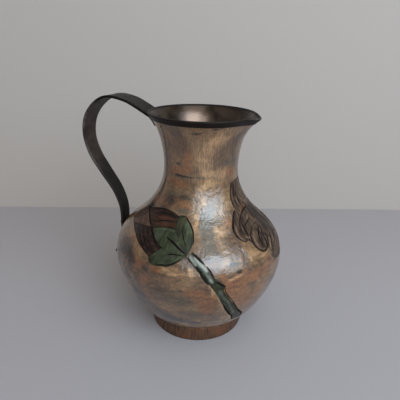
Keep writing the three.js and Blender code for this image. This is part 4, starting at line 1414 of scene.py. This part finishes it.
# The open flower's lines come again on its far half
gravers = {"bud": [], "bloom": []}
for group, lines in engraving.items():
    made = gravers["bloom" if group.startswith("bloom") else "bud"]
    for index, (width, *row) in enumerate(lines):
        made.append(engraveTool(f"graver_{group}_{index}", width, pairs(row)))
        if group == "bloom":
            made.append(engraveTool(f"graver_far_{index}", width, across(pairs(row))))
tools = gravers["bud"] + gravers["bloom"]
for tool in tools:
    dress(tool, "line")
print("stage 4: gravers ready", len(tools))

pockets = []
panels = {}
for node, names in fields.items():
    loop = fieldLoop(names, enamel["spacing"])
    look, _ = fieldLooks.get(node, bloomLook)
    pocket = fieldSheet(node + "_pocket", growLoop(loop, enamel["pocketGap"]),
                        enamel["pocketSpacing"], -enamel["pocket"], -enamel["pocket"])
    thicken(pocket, enamel["pocketRise"], 1)
    dress(pocket, look)
    pockets.append(pocket)
    panel = fieldSheet(node + "_enamel", growLoop(loop, -enamel["gap"]), enamel["spacing"],
                       -enamel["sink"], -enamel["edgeSink"])
    thicken(panel, enamel["depth"], -1)
    dress(panel, look)
    panels[node] = panel
print("stage 5: enamel laid")

carve(bowlBody, pockets + tools)
for node, panel in panels.items():
    carve(panel, gravers["bud" if node in fieldLooks else "bloom"])
for tool in tools + pockets:
    bpy.data.objects.remove(tool)
print("stage 6: engraved", len(bowlBody.data.polygons))

for node, panel in panels.items():
    onBloom = node not in fieldLooks
    laid = strokeWeights(panel, bloomTints if onBloom else budTints, tintKinds, onBloom)
    paint(panel, numpy.clip(laid, 0, 1))
    smoothByAngle(panel, enamel["smooth"])
    settle(panel, fieldLooks.get(node, bloomLook)[1], node)

for body, settings, node in ((bowlBody, bowl, "bowl"), (neckBody, neck, "neck")):
    smoothByAngle(body, settings["smooth"])
    paintPatches(body)
    settle(body, "lacquered_brass", node)

rimBand = makeRim()
dress(rimBand, "darkMetal")
paint(rimBand, numpy.full((len(rimBand.data.vertices), 4), rim["dark"]))
smoothByAngle(rimBand, rim["smooth"])
settle(rimBand, "dark_metal", "rim_band")

footRing = makeFoot()
dress(footRing, "foot")
smoothByAngle(footRing, foot["smooth"])
settle(footRing, "foot_bronze", "foot_ring")

strapHandle = makeStrap()
dress(strapHandle, "darkMetal")
paintStrapWearAndShade(strapHandle)
smoothByAngle(strapHandle, strap["smooth"])
settle(strapHandle, "dark_metal", "strap_handle")

for node in solder["lumps"]:
    lump = makeSolder(node)
    dress(lump, "solder")
    smoothByAngle(lump, solder["smooth"])
    settle(lump, "solder", node)
print("stage 7: rim, foot, strap and solder made")

# Floor, backdrop and light: metres, and directions as turn and rise
studio = {
    "floor": (176, 170, 170), "wall": (192, 182, 173), "dullness": 0.9, "gloss": 0.1,
    "wallBehind": 0.172, "wallTurn": 3, "half": 1.4, "aim": (0, 0, 0.07),
    "world": (1.0, 0.94, 0.88, 1), "dimSide": 0.08, "brightSide": 0.5, "brightest": (-38, 53.13),
    "lights": {
        "window": {"from": (-40, 36), "distance": 0.8, "size": (0.48, 0.4), "watts": 1.7,
                   "colour": (0.66, 0.83, 1.0)},
        "wideWindow": {"from": (-42, 31), "distance": 0.82, "size": (1.15, 0.62),
                       "watts": 5.45, "colour": (0.68, 0.84, 1.0)},
        "ceiling": {"from": (-38, 67), "distance": 0.8, "size": (0.5, 0.3), "watts": 0.45,
                    "colour": (0.85, 0.93, 1.0)},
    },
}


def plainFinish(name, colour):
    return Finish(name, {"Base Color": tone(*colour), "Roughness": studio["dullness"],
                         "Specular IOR Level": studio["gloss"]})


def makeSheets(centre):
    away = heading(viewpoint["towards"])
    half = studio["half"]
    aside = heading(viewpoint["towards"] - 90 + studio["wallTurn"]) * half
    foot = centre + away * studio["wallBehind"]
    left, right = foot - aside, foot + aside
    near, far, up = away * 2 * half, away * half, Vector((0, 0, half))
    floorFinish = plainFinish("paleFloor", studio["floor"])
    wallFinish = plainFinish("paleWall", studio["wall"])
    # seen from behind, the backdrop is left out
    rear = wallFinish.add("NewGeometry", {}).outputs["Backfacing"]
    clear = wallFinish.add("BsdfTransparent", {}).outputs[0]
    shown = wallFinish.add("MixShader", {0: rear, 1: wallFinish.shader.outputs[0], 2: clear})
    surface = wallFinish.tree.nodes["Material Output"].inputs["Surface"]
    wallFinish.tree.links.new(shown.outputs[0], surface)
    for name, corners, finish in (
            ("floor", [left, left - near, right - near, right], floorFinish),
            ("floor_behind", [left, right, right + far, left + far], floorFinish),
            ("wall", [left, right, right + up, left + up], wallFinish)):
        sheet = newPiece(name, corners, [(0, 1, 2, 3)])
        sheet.data.materials.append(finish.material)


def makeLights(centre):
    for name, light in studio["lights"].items():
        towards = heading(*light["from"])
        lamp = bpy.data.lights.new(name, "AREA")
        lamp.shape = "RECTANGLE"
        lamp.size, lamp.size_y = light["size"]
        lamp.energy = light["watts"]
        lamp.color = light["colour"]
        stand = bpy.data.objects.new(name, lamp)
        stand.location = centre + Vector(studio["aim"]) + towards * light["distance"]
        stand.rotation_euler = towards.to_track_quat("Z", "Y").to_euler()
        bpy.context.scene.collection.objects.link(stand)


def makeRoom():
    # brighter on the window's side
    world = bpy.data.worlds.new("room")
    world.use_nodes = True
    sky = Nodes(world.node_tree)
    seen = sky.add("TexCoord", {}).outputs["Generated"]
    facing = sky.vector("DOT_PRODUCT", seen, heading(*studio["brightest"]))
    strength = sky.between(facing, -1.0, 1.0, studio["dimSide"], studio["brightSide"], "LINEAR")
    background = sky.tree.nodes["Background"].inputs
    background["Color"].default_value = studio["world"]
    sky.tree.links.new(strength, background["Strength"])
    bpy.context.scene.world = world


makeSheets(Vector((axisX, 0, 0)))
makeLights(Vector((axisX, 0, 0)))
makeRoom()
bpy.context.scene.view_settings.view_transform = "Standard"
print("stage 8: studio set")
